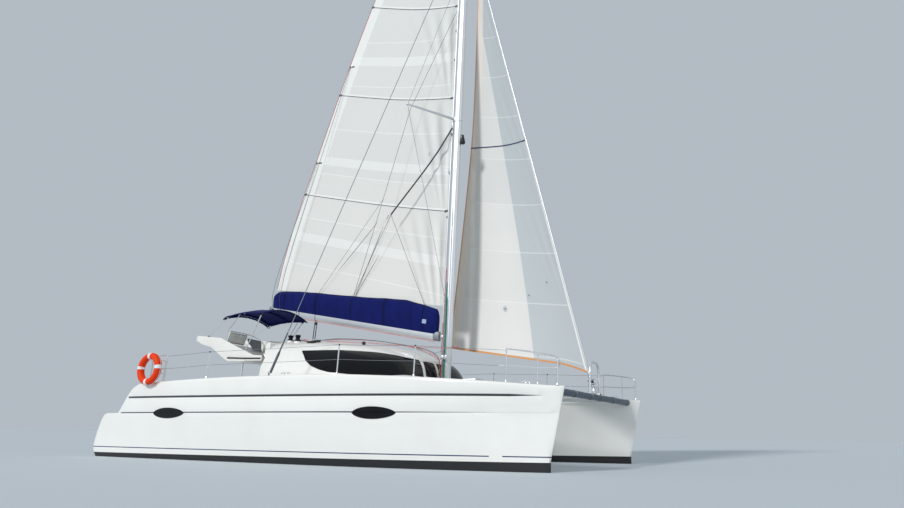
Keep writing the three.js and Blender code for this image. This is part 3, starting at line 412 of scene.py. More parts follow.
def hull_gelcoat():
    """White polished gelcoat: nearly mirror smooth, faintly wavy from the mould, with black paint below the
    waterline, a thin navy line above it, dark grey in the recessed line, and a grey line of painted shade in
    the small groove above the chine."""
    made, tree, spot = patterned("white gelcoat hull", "f4f3ee", 0.17, Coat_Weight=0.35, Coat_Roughness=0.05)
    at = {axis: node(tree, "SeparateXYZ", {"Vector": spot}, axis) for axis in "XYZ"}
    for name, kind, *values in (
        ("paint top", "MULTIPLY_ADD", "X", 0.006, 0.130), ("paint", "LESS_THAN", "Z", "paint top"),
        ("off centre", "ABSOLUTE", "Y"), ("outer side", "GREATER_THAN", "off centre", HULL_MID),
        ("stripe z", "MULTIPLY_ADD", "X", 0.003, 0.238), ("stripe", "COMPARE", "Z", "stripe z", 0.010),
        ("stripe", "MULTIPLY", "stripe", "outer side"), ("bare", "COMPARE", "X", 4.78, 0.12),
        ("painted", "SUBTRACT", 1.0, "bare"), ("stripe", "MULTIPLY", "stripe", "painted"),
        ("groove z", "MULTIPLY_ADD", "X", -GROOVE_FALL, GROOVE_Z),
        ("groove half", "SUBTRACT", GROOVE_END, "X"), ("groove half", "MULTIPLY", "groove half", 0.035),
        ("groove half", "MINIMUM", "groove half", GROOVE_HALF),
        ("groove", "COMPARE", "Z", "groove z", "groove half"), ("groove", "MULTIPLY", "groove", "outer side"),
        ("groove start", "GREATER_THAN", "X", -4.7), ("groove", "MULTIPLY", "groove", "groove start"),
        # painted shade: a thin grey line over the small groove just above the chine step
        ("chine half", "SUBTRACT", 4.85, "X"), ("chine half", "MULTIPLY", "chine half", 0.005),
        ("chine half", "MINIMUM", "chine half", 0.012),
        ("chine", "COMPARE", "Z", CHINE_Z + 0.0085, "chine half"),
        ("chine", "MULTIPLY", "chine", "outer side"), ("chine start", "GREATER_THAN", "X", -4.95),
        ("chine", "MULTIPLY", "chine", "chine start"), ("roughness", "MULTIPLY_ADD", "paint", 0.5, 0.17),
    ):
        at[name] = node(tree, "Math", {i: at.get(v, v) for i, v in enumerate(values)}, operation=kind)
    grain = node(tree, "TexNoise", {"Vector": spot, "Scale": 1.3, "Detail": 3.0})
    shade = node(tree, "Mix", {SHARE: grain, UNDER: "f5f4f0", OVER: "eceae3"}, **LAYERED)
    # The chine line's grey is painted shade; the stripe, groove and bottom paint are the hull's own colours.
    for mask, tint in (("stripe", "26355f"), ("groove", "34383d"), ("chine", "4c5255"), ("paint", "0d0f12")):
        shade = node(tree, "Mix", {SHARE: at[mask], UNDER: shade, OVER: tint}, **LAYERED)
    wave = node(tree, "TexNoise", {"Vector": spot, "Scale": 2.2, "Detail": 1.0})
    bump = node(tree, "Bump", {"Height": wave, "Strength": 0.03, "Distance": 0.02})
    return fed(made, Base_Color=shade, Roughness=at["roughness"], Normal=bump)


painted_hull = hull_gelcoat()
place(hull, "gelcoat", painted_hull, "hull_port", angle=30)
place(starboard_hull, "gelcoat", painted_hull, "hull_starboard", angle=30)


# Portlights: four lenses of dark cast acrylic, pointed at both ends. Each is bonded into a pocket in the
# hull's side, a little below the gelcoat, and sealed by a black rubber gasket.
# Smoked cast acrylic shows as near black with a clean mirror sheen; moulded rubber is a soft dull black.
smoked = finish("smoked acrylic", "07090d", 0.06, IOR=1.49, Specular_IOR_Level=0.28)
rubber = finish("black rubber", "15171a", 0.6)
for name, light in PORTLIGHTS.items():
    pane = prism(f"portlight_pane_{name}_port", lens(light, -0.010), "y", 3.1203, 3.5)
    cut(pane, copied(uncut, "hull_copy", mirror=False), operation="INTERSECT")
    pane.data.transform(Matrix.Translation((0, -0.004, 0)))
    both_sides(pane, "tinted_glass", smoked, f"portlight_{name}")


def pipe(name, points, radius, closed=False, smooth=1, sides=8, ends=True):
    """A round tube, bar or wire along a route, bent smoothly where steps are asked for."""
    clear()
    route = [Vector(p) for p in (fair(points, smooth) if smooth > 1 else points)]
    if closed and smooth > 1:
        route = [Vector(p) for p in fair([*points, points[0]], smooth)][:-1]
    line = bpy.data.curves.new(name, "CURVE")
    line.dimensions = "3D"
    line.bevel_depth = radius
    line.bevel_resolution = max(0, sides // 4 - 1)
    line.use_fill_caps = ends and not closed
    spline = line.splines.new("POLY")
    spline.points.add(len(route) - 1)
    for point, spot in zip(spline.points, route):
        point.co = (*spot, 1)
    spline.use_cyclic_u = closed
    made = bpy.data.objects.new(name, line)
    bpy.context.scene.collection.objects.link(made)
    bpy.context.view_layer.objects.active = made
    made.select_set(True)
    bpy.ops.object.convert(target="MESH")
    made = bpy.context.object
    made.name = made.data.name = name
    bpy.ops.object.mode_set(mode="EDIT")
    bpy.ops.mesh.select_all(action="SELECT")
    bpy.ops.mesh.remove_doubles(threshold=1e-6)
    bpy.ops.mesh.normals_make_consistent(inside=False)
    clear()
    return made


def ring(name, at, major, minor, turn=(0, 0, 0)):
    clear()
    bpy.ops.mesh.primitive_torus_add(
        major_radius=major, minor_radius=minor, major_segments=40, minor_segments=12,
        location=at, rotation=turn,
    )
    bpy.ops.object.transform_apply(location=True, rotation=True, scale=True)
    made = bpy.context.object
    made.name = made.data.name = name
    clear()
    return made


def joined(name, parts):
    clear()
    for part in parts:
        part.select_set(True)
    bpy.context.view_layer.objects.active = parts[0]
    if len(parts) > 1:
        bpy.ops.object.join()
    made = bpy.context.object
    made.name = made.data.name = name
    clear()
    return made


seals = []
for light in PORTLIGHTS.values():
    route = []
    for a, c in lens(light, -0.004):
        chine, edge, deck = (float(read(fair_lines, a)[k]) for k in (4, 5, 6))
        mid, breadth = (float(read(fair_lines, a)[k]) for k in (1, 3))
        low = 0.45 * (mid + breadth) + 0.55 * chine
        if c > CHINE_Z:
            y = chine + (edge - chine) * (c - CHINE_Z) / (deck - 0.06 - CHINE_Z)
        else:
            y = chine + (low - chine) * ((CHINE_Z - c) / 0.505) ** 1.25
        route.append((a, y - 0.001, c))
    seals.append(pipe("seal", route, 0.006, closed=True))
both_sides(joined("portlight_gaskets_port", seals), "antifouling", rubber)
bpy.data.objects.remove(uncut)


# Keels, rudders, saildrive legs and propellers: cast and moulded parts under the hulls, in rolled-on
# antifouling that dries to a dull orange-peel skin; the propellers are bare cast bronze.
def antifoul():
    """Rolled antifouling paint: dead matt, with a fine orange peel and paler worn patches."""
    made, tree, spot = patterned("rolled antifouling", "14171b", 0.75)
    peel = node(tree, "TexNoise", {"Vector": spot, "Scale": 160.0, "Detail": 2.0})
    wear = node(tree, "TexNoise", {"Vector": spot, "Scale": 3.0, "Detail": 6.0})
    return toned(made, wear, "101317", "20262a", peel, 0.25, 0.002)


def cast_bronze():
    """Cast bronze, bare: a dull gold with browner stains."""
    made, tree, spot = patterned("cast bronze", "a8834a", 0.38, 1.0)
    stain = node(tree, "TexNoise", {"Vector": spot, "Scale": 22.0, "Detail": 4.0})
    shade = node(tree, "Mix", {SHARE: stain, UNDER: "b38d52", OVER: "7d6a45"}, **LAYERED)
    return fed(made, Base_Color=shade)


def dress(material, *names):
    for name in names:
        nodes[name].data.materials.clear()
        nodes[name].data.materials.append(material)


bottom_paint, bronze = antifoul(), cast_bronze()
for side in ("port", "starboard"):
    dress(bottom_paint, f"keel_{side}", f"rudder_{side}", f"drive_leg_{side}")
    dress(bronze, f"propeller_{side}")


# Bridge deck and cockpit: floors, bench and lockers moulded in glass fibre with a gelcoat face, with diamond
# non-skid moulded into every level that is walked on.
def deck_gelcoat():
    """White moulded gelcoat: a soft gloss, less polished than the hulls, with a faintly uneven tone."""
    made, tree, spot = patterned("white gelcoat deck", "efeee9", 0.28, Coat_Weight=0.2, Coat_Roughness=0.1)
    grain = node(tree, "TexNoise", {"Vector": spot, "Scale": 2.1, "Detail": 4.0})
    fine = node(tree, "TexNoise", {"Vector": spot, "Scale": 35.0, "Detail": 2.0})
    return toned(made, grain, "efeee9", "e3e2dc", fine, 0.04, 0.004)


def non_skid():
    """Moulded non-skid: raised diamonds about 9 mm across, drawn at 18 mm so that they show; the grooves
    between them are painted darker as painted shade.
    """
    made, tree, spot = patterned("moulded non-skid", "d9dad6", 0.6)
    facets = node(tree, "Mapping", {"Vector": spot, "Rotation": (0, 0, pi / 4), "Scale": (55, 55, 0)})
    square = {"Vector": facets, "Randomness": 0.0, "Scale": 1.0}
    check = node(tree, "TexVoronoi", square, distance="CHEBYCHEV")
    height = node(tree, "Math", {0: check, 1: 0.42, 2: 0.1}, operation="SMOOTH_MIN")
    # painted shade: the deeper into a groove, the darker the tone
    return toned(made, height, "e2e2de", "b9bbb8", height, 0.5, 0.003, invert=True)


white_deck, grip = deck_gelcoat(), non_skid()
dress(white_deck, "bridge_deck", "saloon_bulkhead", "cockpit_bench", "cockpit_table", "centre_strut")


def pad(name, low, high, corner=0.06, thick=0.003, body="hulls"):
    """A non-skid panel with rounded corners, lying on a level surface."""
    (x0, y0, z), (x1, y1) = low, high
    outline = []
    for i, (x, y) in enumerate(((x1, y1), (x0, y1), (x0, y0), (x1, y0))):
        cx, cy = (x - corner if x == x1 else x + corner), (y - corner if y == y1 else y + corner)
        turns = [radians(90 * i + t) for t in (0, 22.5, 45, 67.5, 90)]
        outline += [(cx + corner * cos(a), cy + corner * sin(a)) for a in turns]
    return place(prism(name, outline, "z", z, z + thick), "gelcoat", grip, body=body)


FLOOR_Z, FOREDECK_Z = 0.9, 1.54
pad("cockpit_floor_grip", (-4.05, -1.5, FLOOR_Z), (-1.42, 0.92))
pad("foredeck_grip_aft", (2.0, -1.05, FOREDECK_Z), (2.3, -0.2), 0.04)
pad("foredeck_grip_aft_port", (2.0, 0.2, FOREDECK_Z), (2.3, 1.05), 0.04)
pad("foredeck_grip_front", (3.14, -1.4, FOREDECK_Z), (3.27, 1.4), 0.04)
pad("saloon_floor", (-1.15, -1.5, FLOOR_Z), (1.75, 1.5), 0.1)
SIDES = (("port", 1), ("starboard", -1))
for side, sign in SIDES:
    for i, (x0, x1, z) in enumerate(STEPS):
        a, b = sorted((sign * (HULL_MID - STEP_HALF + 0.07), sign * (HULL_MID + STEP_HALF - 0.07)))
        start = -5.66 if i == 0 else x0 + 0.03
        pad(f"step_grip_{i + 1}_{side}", (start, a, z), (x1 - 0.05, b), 0.05)


# Locker lids: two moulded gelcoat lids in the foredeck, each with a non-skid panel, and screwed to it two
# stainless hinges on the aft edge and a flush ring latch.
def polished():
    """Stainless steel 316, electropolished, with faint handling streaks."""
    made, tree, spot = patterned("polished stainless", "e6e8ea", 0.3, 0.85)
    streak = node(tree, "TexNoise", {"Vector": spot, "Scale": 45.0, "Detail": 4.0})
    return fed(made, Roughness=node(tree, "MapRange", {"Value": streak, "To Min": 0.18, "To Max": 0.34}))


steel = polished()
LID, LID_Z = ((2.348, 0.128), (3.112, 1.212)), 1.548
for side, sign in SIDES:
    body = "lid_p" if side == "port" else "lid_s"
    dress(white_deck, f"locker_lid_{side}")
    a, b = sorted((sign * (LID[0][1] + 0.07), sign * (LID[1][1] - 0.07)))
    pad(f"lid_grip_{side}", (LID[0][0] + 0.09, a, LID_Z), (LID[1][0] - 0.1, b), 0.05, 0.0025, body)
    parts = []
    for y in (sign * 0.36, sign * 0.98):
        corners = (2.351, y - 0.03, LID_Z + 0.0005), (2.395, y + 0.03, LID_Z + 0.0045)
        parts.append(block("leaf", *corners, 0.0015, 1))
        parts.append(pipe("knuckle", [(2.3475, y + d, LID_Z + 0.004) for d in (-0.03, 0.03)], 0.0035))
    y = sign * 0.67
    pull = ring("pull", (3.055, y, LID_Z + 0.003), 0.026, 0.003)
    plate = block("plate", (3.02, y - 0.034, LID_Z), (3.088, y + 0.034, LID_Z + 0.0025), 0.001, 1)
    place(joined(f"lid_fittings_{side}", [*parts, pull, plate]), "stainless", steel, body=body)


# Deckhouse: a vacuum-moulded sandwich shell that runs from the side decks over the saloon in one curve,
# with openings cut through it, in which panes of smoked acrylic are bonded flush.
# z, front x, corner x, corner y, side x, side y, aft y
HOUSE = [
    (1.560, 1.790, 1.680, 1.560, 0.900, 2.330, 2.560),
    (1.960, 1.760, 1.630, 1.450, 0.820, 2.230, 2.510),
    (2.260, 1.620, 1.440, 1.330, 0.640, 2.060, 2.400),
    (2.480, 1.250, 1.000, 1.220, 0.300, 1.850, 2.250),
    (2.600, 0.820, 0.560, 1.050, 0.000, 1.560, 2.050),
    (2.680, 0.250, 0.000, 0.800, -0.350, 1.200, 1.700),
    (2.712, -0.300, -0.420, 0.450, -0.650, 0.700, 1.050),
    (2.722, -0.700, -0.760, 0.000, -0.900, 0.000, 0.000),
]
BULKHEAD_X = -1.25


def house_line(row):
    z, front, corner_x, corner_y, side_x, side_y, aft_y = row
    middle = ((side_x + BULKHEAD_X) / 2, (side_y + aft_y) / 2 + 0.02 * (aft_y > 0), z)
    half = [(BULKHEAD_X + 0.0003, aft_y, z), middle, (side_x, side_y, z), (corner_x, corner_y, z)]
    half.append((front, 0.5 * min(1, corner_y / 0.9), z))
    ring = fair([*half, (front + 0.012, 0, z)], 5)
    return [*map(tuple, ring), *[(x, -y, h) for x, y, h in ring[-2::-1]]]


house_grid = np.array([house_line(row) for row in HOUSE])
house_grid = fair(house_grid, 6)
house = skin("deckhouse_shell", house_grid, wrap=False)
clear()
bpy.context.view_layer.objects.active = house
bpy.ops.object.mode_set(mode="EDIT")
bpy.ops.mesh.select_all(action="SELECT")
bpy.ops.mesh.remove_doubles(threshold=0.0015)
clear()
middle_face = max(house.data.polygons, key=lambda f: f.center.z)
if middle_face.normal.z < 0:
    house.data.flip_normals()
glazing = copied(house, "glazing", mirror=False)
apply(house, "SOLIDIFY", thickness=0.055, offset=-1.0, use_even_offset=True)
apply(glazing, "SOLIDIFY", thickness=0.012, offset=-1.0, use_even_offset=True)
foredeck_cut = block("foredeck_cut", (BULKHEAD_X + 0.01, -1.6, 1.4), (2.4, 1.6, 1.541))
cut(house, foredeck_cut)

SIDE_WINDOW = [
    (-0.45, 2.37), (0.45, 2.37), (1.11, 2.35), (1.41, 2.31), (1.60, 2.26), (1.90, 2.245), (1.90, 1.88),
    (1.74, 1.86), (1.62, 1.82), (1.18, 1.80), (0.95, 1.81), (0.53, 1.85), (0.27, 1.91), (0.01, 2.00),
    (-0.18, 2.12), (-0.32, 2.26),
]
PILLAR = 0.6
FRONT_WINDOW = [(0.045, 1.88), (PILLAR - 0.085, 1.88), (PILLAR - 0.105, 2.24), (0.045, 2.24)]


def rounded(outline, radius, steps=5):
    """An outline with its corners rounded."""
    out = []
    count = len(outline)
    for i, corner in enumerate(outline):
        p, q, r = Vector(outline[i - 1]), Vector(corner), Vector(outline[(i + 1) % count])
        reach = min(radius, (p - q).length * 0.45, (r - q).length * 0.45)
        a, b = q + (p - q).normalized() * reach, q + (r - q).normalized() * reach
        for t in np.arange(steps + 1) / steps:
            out.append(tuple(a * (1 - t) ** 2 + q * 2 * t * (1 - t) + b * t * t))
    return out


def inset(outline, by):
    """An outline drawn in towards its middle."""
    count = len(outline)
    turn = sum(outline[i - 1][0] * outline[i][1] - outline[i][0] * outline[i - 1][1] for i in range(count))
    out = []
    for i in range(count):
        p, q, r = Vector(outline[i - 1]), Vector(outline[i]), Vector(outline[(i + 1) % count])
        e, f = (q - p).normalized(), (r - q).normalized()
        n = Vector((-e.y - f.y, e.x + f.x)).normalized() * (1 if turn > 0 else -1)
        out.append(tuple(q + n * by / max(0.5, sqrt(max(0.05, (1 + e.dot(f)) / 2)))))
    return out


side_outline = rounded(SIDE_WINDOW, 0.05)
front_outline = rounded(FRONT_WINDOW, 0.05)
OPENINGS = []
for side, sign in SIDES:
    reach = sorted((sign * PILLAR, sign * 3.0))
    OPENINGS.append((f"side_window_{side}", side_outline, "y", *reach))
    OPENINGS.append((f"windscreen_{side}", [(sign * y, z) for y, z in front_outline], "x", 1.35, 2.2))
for name, outline, axis, low, high in OPENINGS:
    cut(house, prism("opening", outline, axis, low, high))
soften(house, 0.006, 2, 50)
place(house, "gelcoat", white_deck, "deckhouse", angle=40)
for name, outline, axis, low, high in OPENINGS:
    trim = 0.004 if axis == "y" else 0.0
    pane = prism(
        f"{name}_pane", inset(outline, 0.004), axis, low + trim * (low > 0), high - trim * (high < 0)
    )
    cut(pane, copied(glazing, "shell_copy", mirror=False), operation="INTERSECT")
    place(pane, "tinted_glass", smoked, name, angle=30)
bpy.data.objects.remove(glazing)


# Back wall and door: a gelcoat bulkhead, and in it a sliding door of smoked acrylic in an anodised aluminium
# frame, hung from a track on the cockpit side, and a framed galley hatch.
def anodised(name, colour, rough):
    """Drawn aluminium, clear anodised: the fine lengthwise drawing lines soften its reflections."""
    made, tree, spot = patterned(name, colour, rough, 1.0)
    lines = node(tree, "Mapping", {"Vector": spot, "Scale": (260, 260, 3)})
    drawn = node(tree, "TexNoise", {"Vector": lines, "Scale": 1.0, "Detail": 3.0})
    return fed(made, Normal=node(tree, "Bump", {"Height": drawn, "Strength": 0.05, "Distance": 0.001}))


silver = anodised("anodised aluminium", "c6c8ca", 0.32)
dress(silver, "door_track")
dress(smoked, "saloon_door")
DOOR_LOW, DOOR_HIGH = (-1.345, 0.21, 0.92), (-1.302, 1.14, 2.487)
HATCH_LOW, HATCH_HIGH = (-1.2995, -1.148, 1.852), (-1.2495, -0.352, 2.448)


def framed(low, high, bar):
    """Four bars round an opening in a wall that stands across the boat."""
    bars = []
    for y in (low[1], high[1] - bar):
        bars.append(block("stile", (low[0], y, low[2]), (high[0], y + bar, high[2]), 0.004, 2))
    for z in (low[2], high[2] - bar):
        bars.append(block("rail", (*low[:2], z), (*high[:2], z + bar), 0.004, 2))
    return bars


door_bars = framed(DOOR_LOW, DOOR_HIGH, 0.05)
grab_bar = [(-1.345, 1.06, 1.5), (-1.385, 1.06, 1.52), (-1.385, 1.06, 1.88), (-1.345, 1.06, 1.9)]
door_bars.append(pipe("grab", grab_bar, 0.009, smooth=4))
place(joined("saloon_door_frame", door_bars), "aluminium", silver, body="door")
place(joined("galley_hatch_frame", framed(HATCH_LOW, HATCH_HIGH, 0.03)), "aluminium", silver)


# Hardtop: one moulding over the cockpit whose starboard side drops to form the helm seat locker, with soft
# edges, a black rubbing strip under the seat and a raised aft lip.
ROOF_AFT, ROOF_FRONT = -4.06, -1.3003
TOP = [
    (ROOF_AFT, 2.82), (-4.0, 2.77), (-3.6, 2.76), (-2.4, 2.70), (ROOF_FRONT, 2.63), (ROOF_FRONT, 2.70),
    (-2.4, 2.79), (-3.5, 2.86), (-4.0, 2.87),
]
UNDERSIDE = [(-3.43, 2.61), (-3.13, 2.54), (-2.64, 2.24), (-2.52, 2.19)]
SEAT = [
    (ROOF_AFT, 2.82), (-3.98, 2.765), (-3.60, 2.69), *UNDERSIDE, (-1.98, 2.165), (-1.98, 2.33), (-2.62, 2.33),
    (-2.65, 2.60), (-3.02, 2.60), (-3.25, 2.79), (-4.0, 2.87),
]
SEAT_WALL = [(-3.25, 2.60), *UNDERSIDE[1:], (-1.98, 2.17), (-1.98, 2.745), (-3.25, 2.745)]
COAMING = [
    (-1.46, 2.165), (-2.52, 2.192), (-2.90, 2.45), (-3.20, 2.60), (-3.25, 2.785), (-2.84, 2.745),
    (-2.70, 2.685), (-2.19, 2.48), (-1.72, 2.30), (-1.46, 2.28),
]
hardtop = prism("hardtop_shell", TOP, "y", -1.27, 2.15)
CORNERS = (
    [(-3.56, -2.40), (-3.76, -2.30), (-3.95, -2.13), (-4.07, -1.90), (-4.20, -1.90), (-4.20, -2.40)],
    [(-3.70, 2.20), (-3.90, 2.06), (-4.07, 1.85), (-4.20, 1.85), (-4.20, 2.20)],
)
seat_parts = [prism("seat", SEAT, "y", -2.37, -1.23), prism("seat_wall", SEAT_WALL, "y", -1.28, -1.231)]
seat_parts.append(prism("coaming", COAMING, "y", -2.3701, -2.34))
cut(hardtop, *seat_parts, operation="UNION")
for outline in CORNERS:
    cut(hardtop, prism("corner", [tuple(p) for p in fair(outline[:4], 4)] + outline[4:], "z", 2.5, 3.0))
soften(hardtop, 0.022, 4, 24)
place(hardtop, "gelcoat", white_deck, "cockpit_hardtop", angle=30)
strip = [(-1.475, -2.374, 2.215), (-2.0, -2.375, 2.232), (-2.53, -2.374, 2.262)]
place(pipe("seat_rubbing_strip", strip, 0.018), "antifouling", rubber)
dress(steel, "hardtop_post_port", "hardtop_post_starboard")


# Mast: an anodised elliptical extrusion with a luff track, standing in a cast collar, with halyard tails led
# down its sides, two winches, rope clutches at its foot, a deck light and a flat cap.
MAST_X, AXIS_X = 1.98, 1.80
MAST_LONG, MAST_WIDE = 0.130, 0.080
HOUNDS, MASTHEAD, SPREADER_Z = 14.6, 17.6, 8.56
mast_rows = []
for z in (1.60, 3, 6, 9, 12, HOUNDS, 15.6, 16.6, MASTHEAD):
    k = float(np.interp(z, (HOUNDS, MASTHEAD), (1, 0.72)))
    mast_rows.append([(MAST_X + MAST_LONG * k * cos(a), MAST_WIDE * k * sin(a), z) for a in circle(40)])
mast_skin = skin("mast_extrusion", mast_rows)
soften(mast_skin, 0.008, 2, 60)
mast_silver = anodised("anodised mast", "dcdee0", 0.38)
track = block("luff_track", (1.826, -0.012, 3.2), (1.855, 0.012, 17.3), 0.002, 1)
collar = rounded([(1.83, -0.13), (2.17, -0.13), (2.17, 0.13), (1.83, 0.13)], 0.07)
collar_lip = rounded([(1.835, -0.1), (2.13, -0.1), (2.13, 0.1), (1.835, 0.1)], 0.09)
collars = [prism("collar", collar, "z", 1.5403, 1.60), prism("collar_lip", collar_lip, "z", 1.598, 1.66)]
cap = block("mast_cap", (1.845, -0.065, 17.585), (2.095, 0.065, 17.6), 0.004, 1)
pin = pipe("gooseneck_pin", [(AXIS_X, 0, 2.81), (AXIS_X, 0, 2.93)], 0.009, sides=16)
fork = block("gooseneck_fork", (AXIS_X - 0.02, -0.02, 2.84), (1.87, 0.02, 2.90), 0.004, 2)
mast_parts = [mast_skin, track, *collars, cap, pin, fork]
place(joined("mast_tube", mast_parts), "aluminium", mast_silver, "mast", angle=35)


def turned(name, profile, at, axis=(0, 0, 1), steps=32):
    """A turned part: radius and height rows spun about an axis."""
    at, turn = Vector(at), Vector((0, 0, 1)).rotation_difference(Vector(axis)).to_matrix()
    spin = lambda r, h: [tuple(turn @ Vector((r * cos(a), r * sin(a), h)) + at) for a in circle(steps)]
    return skin(name, [spin(r, h) for r, h in profile])


WINCH = [
    (0.020, 0.0), (0.070, 0.0), (0.074, 0.006), (0.074, 0.018), (0.066, 0.026), (0.052, 0.036),
    (0.046, 0.060), (0.047, 0.092), (0.056, 0.108), (0.064, 0.113), (0.064, 0.124), (0.056, 0.130),
    (0.050, 0.132), (0.050, 0.142), (0.042, 0.147), (0.020, 0.147), (0.016, 0.139), (0.004, 0.139),
]
small = [(r * 0.72, h * 0.8) for r, h in WINCH]
for side, sign in SIDES:
    face = MAST_WIDE - 0.002
    seat = block("winch_pad", (1.92, sign * face - 0.03, 2.30), (2.04, sign * face + 0.03, 2.42), 0.012, 3)
    drum = turned("drum", small, (1.98, sign * (face + 0.02), 2.36), (0, sign, 0))
    place(joined(f"mast_winch_{side}", [seat, drum]), "stainless", steel)


def rope(colour, fleck, name):
    """Braided polyester: the crossed strands show as small diagonal cells, with a coloured tracer."""
    made, tree, spot = patterned(name, colour, 0.8, Sheen_Weight=0.3)
    strands = node(tree, "TexVoronoi", {"Vector": spot, "Scale": 320.0, "Randomness": 0.25})
    chance = node(tree, "SeparateColor", {"Color": strands.node.outputs["Color"]})
    tracer = node(tree, "Math", {0: chance, 1: 0.78}, operation="GREATER_THAN")
    return toned(made, tracer, colour, fleck, strands, 0.6, 0.002, invert=True)


teal_rope, red_rope = rope("0f8f7c", "0a5f58", "teal braid"), rope("c8262c", "f0e6e0", "red braid")
white_rope, grey_rope = rope("e4e2da", "2f4f8a", "white braid"), rope("43474d", "24272b", "grey braid")
black_rope = rope("1b1d20", "55585c", "black braid")
HALYARDS = [
    ("teal", teal_rope, 0.012, -0.088, 1.955, 4.02), ("teal_2", teal_rope, 0.010, -0.090, 1.985, 3.65),
    ("red", red_rope, 0.009, -0.085, 1.905, 4.35), ("white", white_rope, 0.009, -0.089, 2.015, 6.2),
    ("white_port", white_rope, 0.009, 0.089, 1.97, 7.4), ("grey_port", grey_rope, 0.009, 0.088, 2.0, 5.5),
]
for name, material, radius, y, x, top in HALYARDS:
    sign = 1 if y > 0 else -1
    route = [
        (x, sign * 0.070, top + 0.18), (x, y, top), (x + 0.004, y - 0.004 * sign, 0.5 * top + 1), (x, y, 2.2),
        (x, y, 1.72), (x - 0.03, y, 1.62),
    ]
    place(pipe(f"halyard_{name}", route, radius, smooth=5), "netting", material)
for side, sign in SIDES:
    clutches = []
    for i in range(4):
        x, y = 1.86 + 0.045 * i, sign * 0.1
        clutches.append(block("clutch", (x, y - 0.018, 1.66), (x + 0.035, y + 0.018, 1.80), 0.006, 2))
    place(joined(f"mast_foot_blocks_{side}", clutches), "antifouling", rubber)
LAMP = [(0.004, 0.0), (0.055, 0.0), (0.068, 0.03), (0.05, 0.12), (0.03, 0.2), (0.026, 0.24), (0.004, 0.245)]
light = turned("deck_light", LAMP, (2.165, 0, 7.86))
arm = pipe("light_arm", [(2.165, 0, 8.09), (2.10, 0, 8.12)], 0.012)
place(joined("deck_light", [light, arm]), "antifouling", rubber)


# Spreaders: tapered airfoil arms swept aft, riveted to a root casting each side; their tips carry the
# diamond wires that stiffen the mast.
SPREADER_TIP = (1.24, 1.20, 8.60)
arms = []
for sign in (1, -1):
    tip = Vector((SPREADER_TIP[0], sign * SPREADER_TIP[1], SPREADER_TIP[2]))
    rings = []
    for t, chord, thick in ((0, 0.072, 0.034), (0.3, 0.070, 0.032), (0.85, 0.055, 0.024), (1.0, 0.046, 0.02)):
        spot = Vector((MAST_X - 0.04, sign * 0.075, SPREADER_Z)).lerp(tip, t)
        rings.append([tuple(spot + Vector((0.6 * chord * cos(a), 0, thick * sin(a)))) for a in circle(16)])
    arms.append(skin("spreader", rings))
    y, z = sign * 0.088, SPREADER_Z
    arms.append(block("root", (1.90, y - 0.012, z - 0.055), (1.99, y + 0.012, z + 0.055), 0.008, 2))
    clear()
    bpy.ops.mesh.primitive_uv_sphere_add(segments=16, ring_count=10, radius=0.034, location=tip)
    arms.append(bpy.context.object)
band = []
for g, h in ((0.0005, -0.045), (0.010, -0.045), (0.010, 0.045), (0.0005, 0.045), (0.0005, -0.045)):
    long, wide = MAST_LONG + g, MAST_WIDE + g
    band.append([(MAST_X + long * cos(a), wide * sin(a), SPREADER_Z + h) for a in circle(40)])
arms.append(skin("spreader_band", band, caps=False))
place(joined("spreader_arms", arms), "aluminium", mast_silver, "spreaders")


# Standing rigging: 1x19 stainless wire with swaged ends; each cap shroud ends in a turnbuckle in a grey
# cover at its chainplate, and the diamonds run over the spreader tips.
def wire_rope():
    """1x19 wire: the lay shows as fine slanted grooves round the strand."""
    made, tree, spot = patterned("stainless wire", "a9adb1", 0.28, 1.0)
    slanted = {"Vector": spot, "Scale": 60.0, "Distortion": 0.0}
    lay = node(tree, "TexWave", slanted, "Fac", bands_direction="DIAGONAL")
    return toned(made, lay, "7e8388", "b9bdc1", lay, 0.4, 0.001)


wire = wire_rope()
# A sewn cover of coated cloth: dull dark grey, with the wire's end inside.
grey_cover = finish("grey turnbuckle cover", "4f565c", 0.55, Sheen_Weight=0.15)
CHAINPLATE = Vector((-0.26, 3.23, 1.69))
COVER = [(0.004, 0.09), (0.020, 0.09), (0.026, 0.12), (0.026, 0.52), (0.016, 0.57), (0.015, 0.98)]
COVER.append((0.004, 1.0))
for side, sign in SIDES:
    flip = lambda p: Vector((p[0], sign * p[1], p[2]))
    top, foot = Vector((MAST_X - 0.03, 0.07, HOUNDS)), CHAINPLATE
    up = (top - foot).normalized()
    parts = [pipe("shroud", [flip(top), flip(foot + up * 0.2)], 0.008, sides=12)]
    parts.append(pipe("swage", [flip(foot + up * 1.02), flip(foot + up * 1.2)], 0.011, sides=12))
    parts.append(pipe("swage_top", [flip(top - up * 0.28), flip(top)], 0.011, sides=12))
    x, y = foot.x, sign * foot.y
    parts.append(block("plate", (x - 0.045, y - 0.014, 1.712), (x + 0.045, y + 0.014, 1.728), 0.002, 1))
    parts.append(block("tang", (x - 0.018, y - 0.006, 1.722), (x + 0.024, y + 0.006, 1.80), 0.004, 2))
    place(joined(f"cap_shroud_wire_{side}", parts), "stainless", wire, f"cap_shroud_{side}")
    place(turned(f"turnbuckle_cover_{side}", COVER, flip(foot), flip(up)), "antifouling", grey_cover)
    tip = Vector(SPREADER_TIP)
    diamond = [
        pipe("upper", [flip((MAST_X - 0.02, 0.075, 13.2)), flip(tip)], 0.005),
        pipe("lower", [flip(tip), flip((MAST_X - 0.02, 0.08, 3.6))], 0.005),
    ]
    place(joined(f"diamond_wire_{side}", diamond), "stainless", wire)


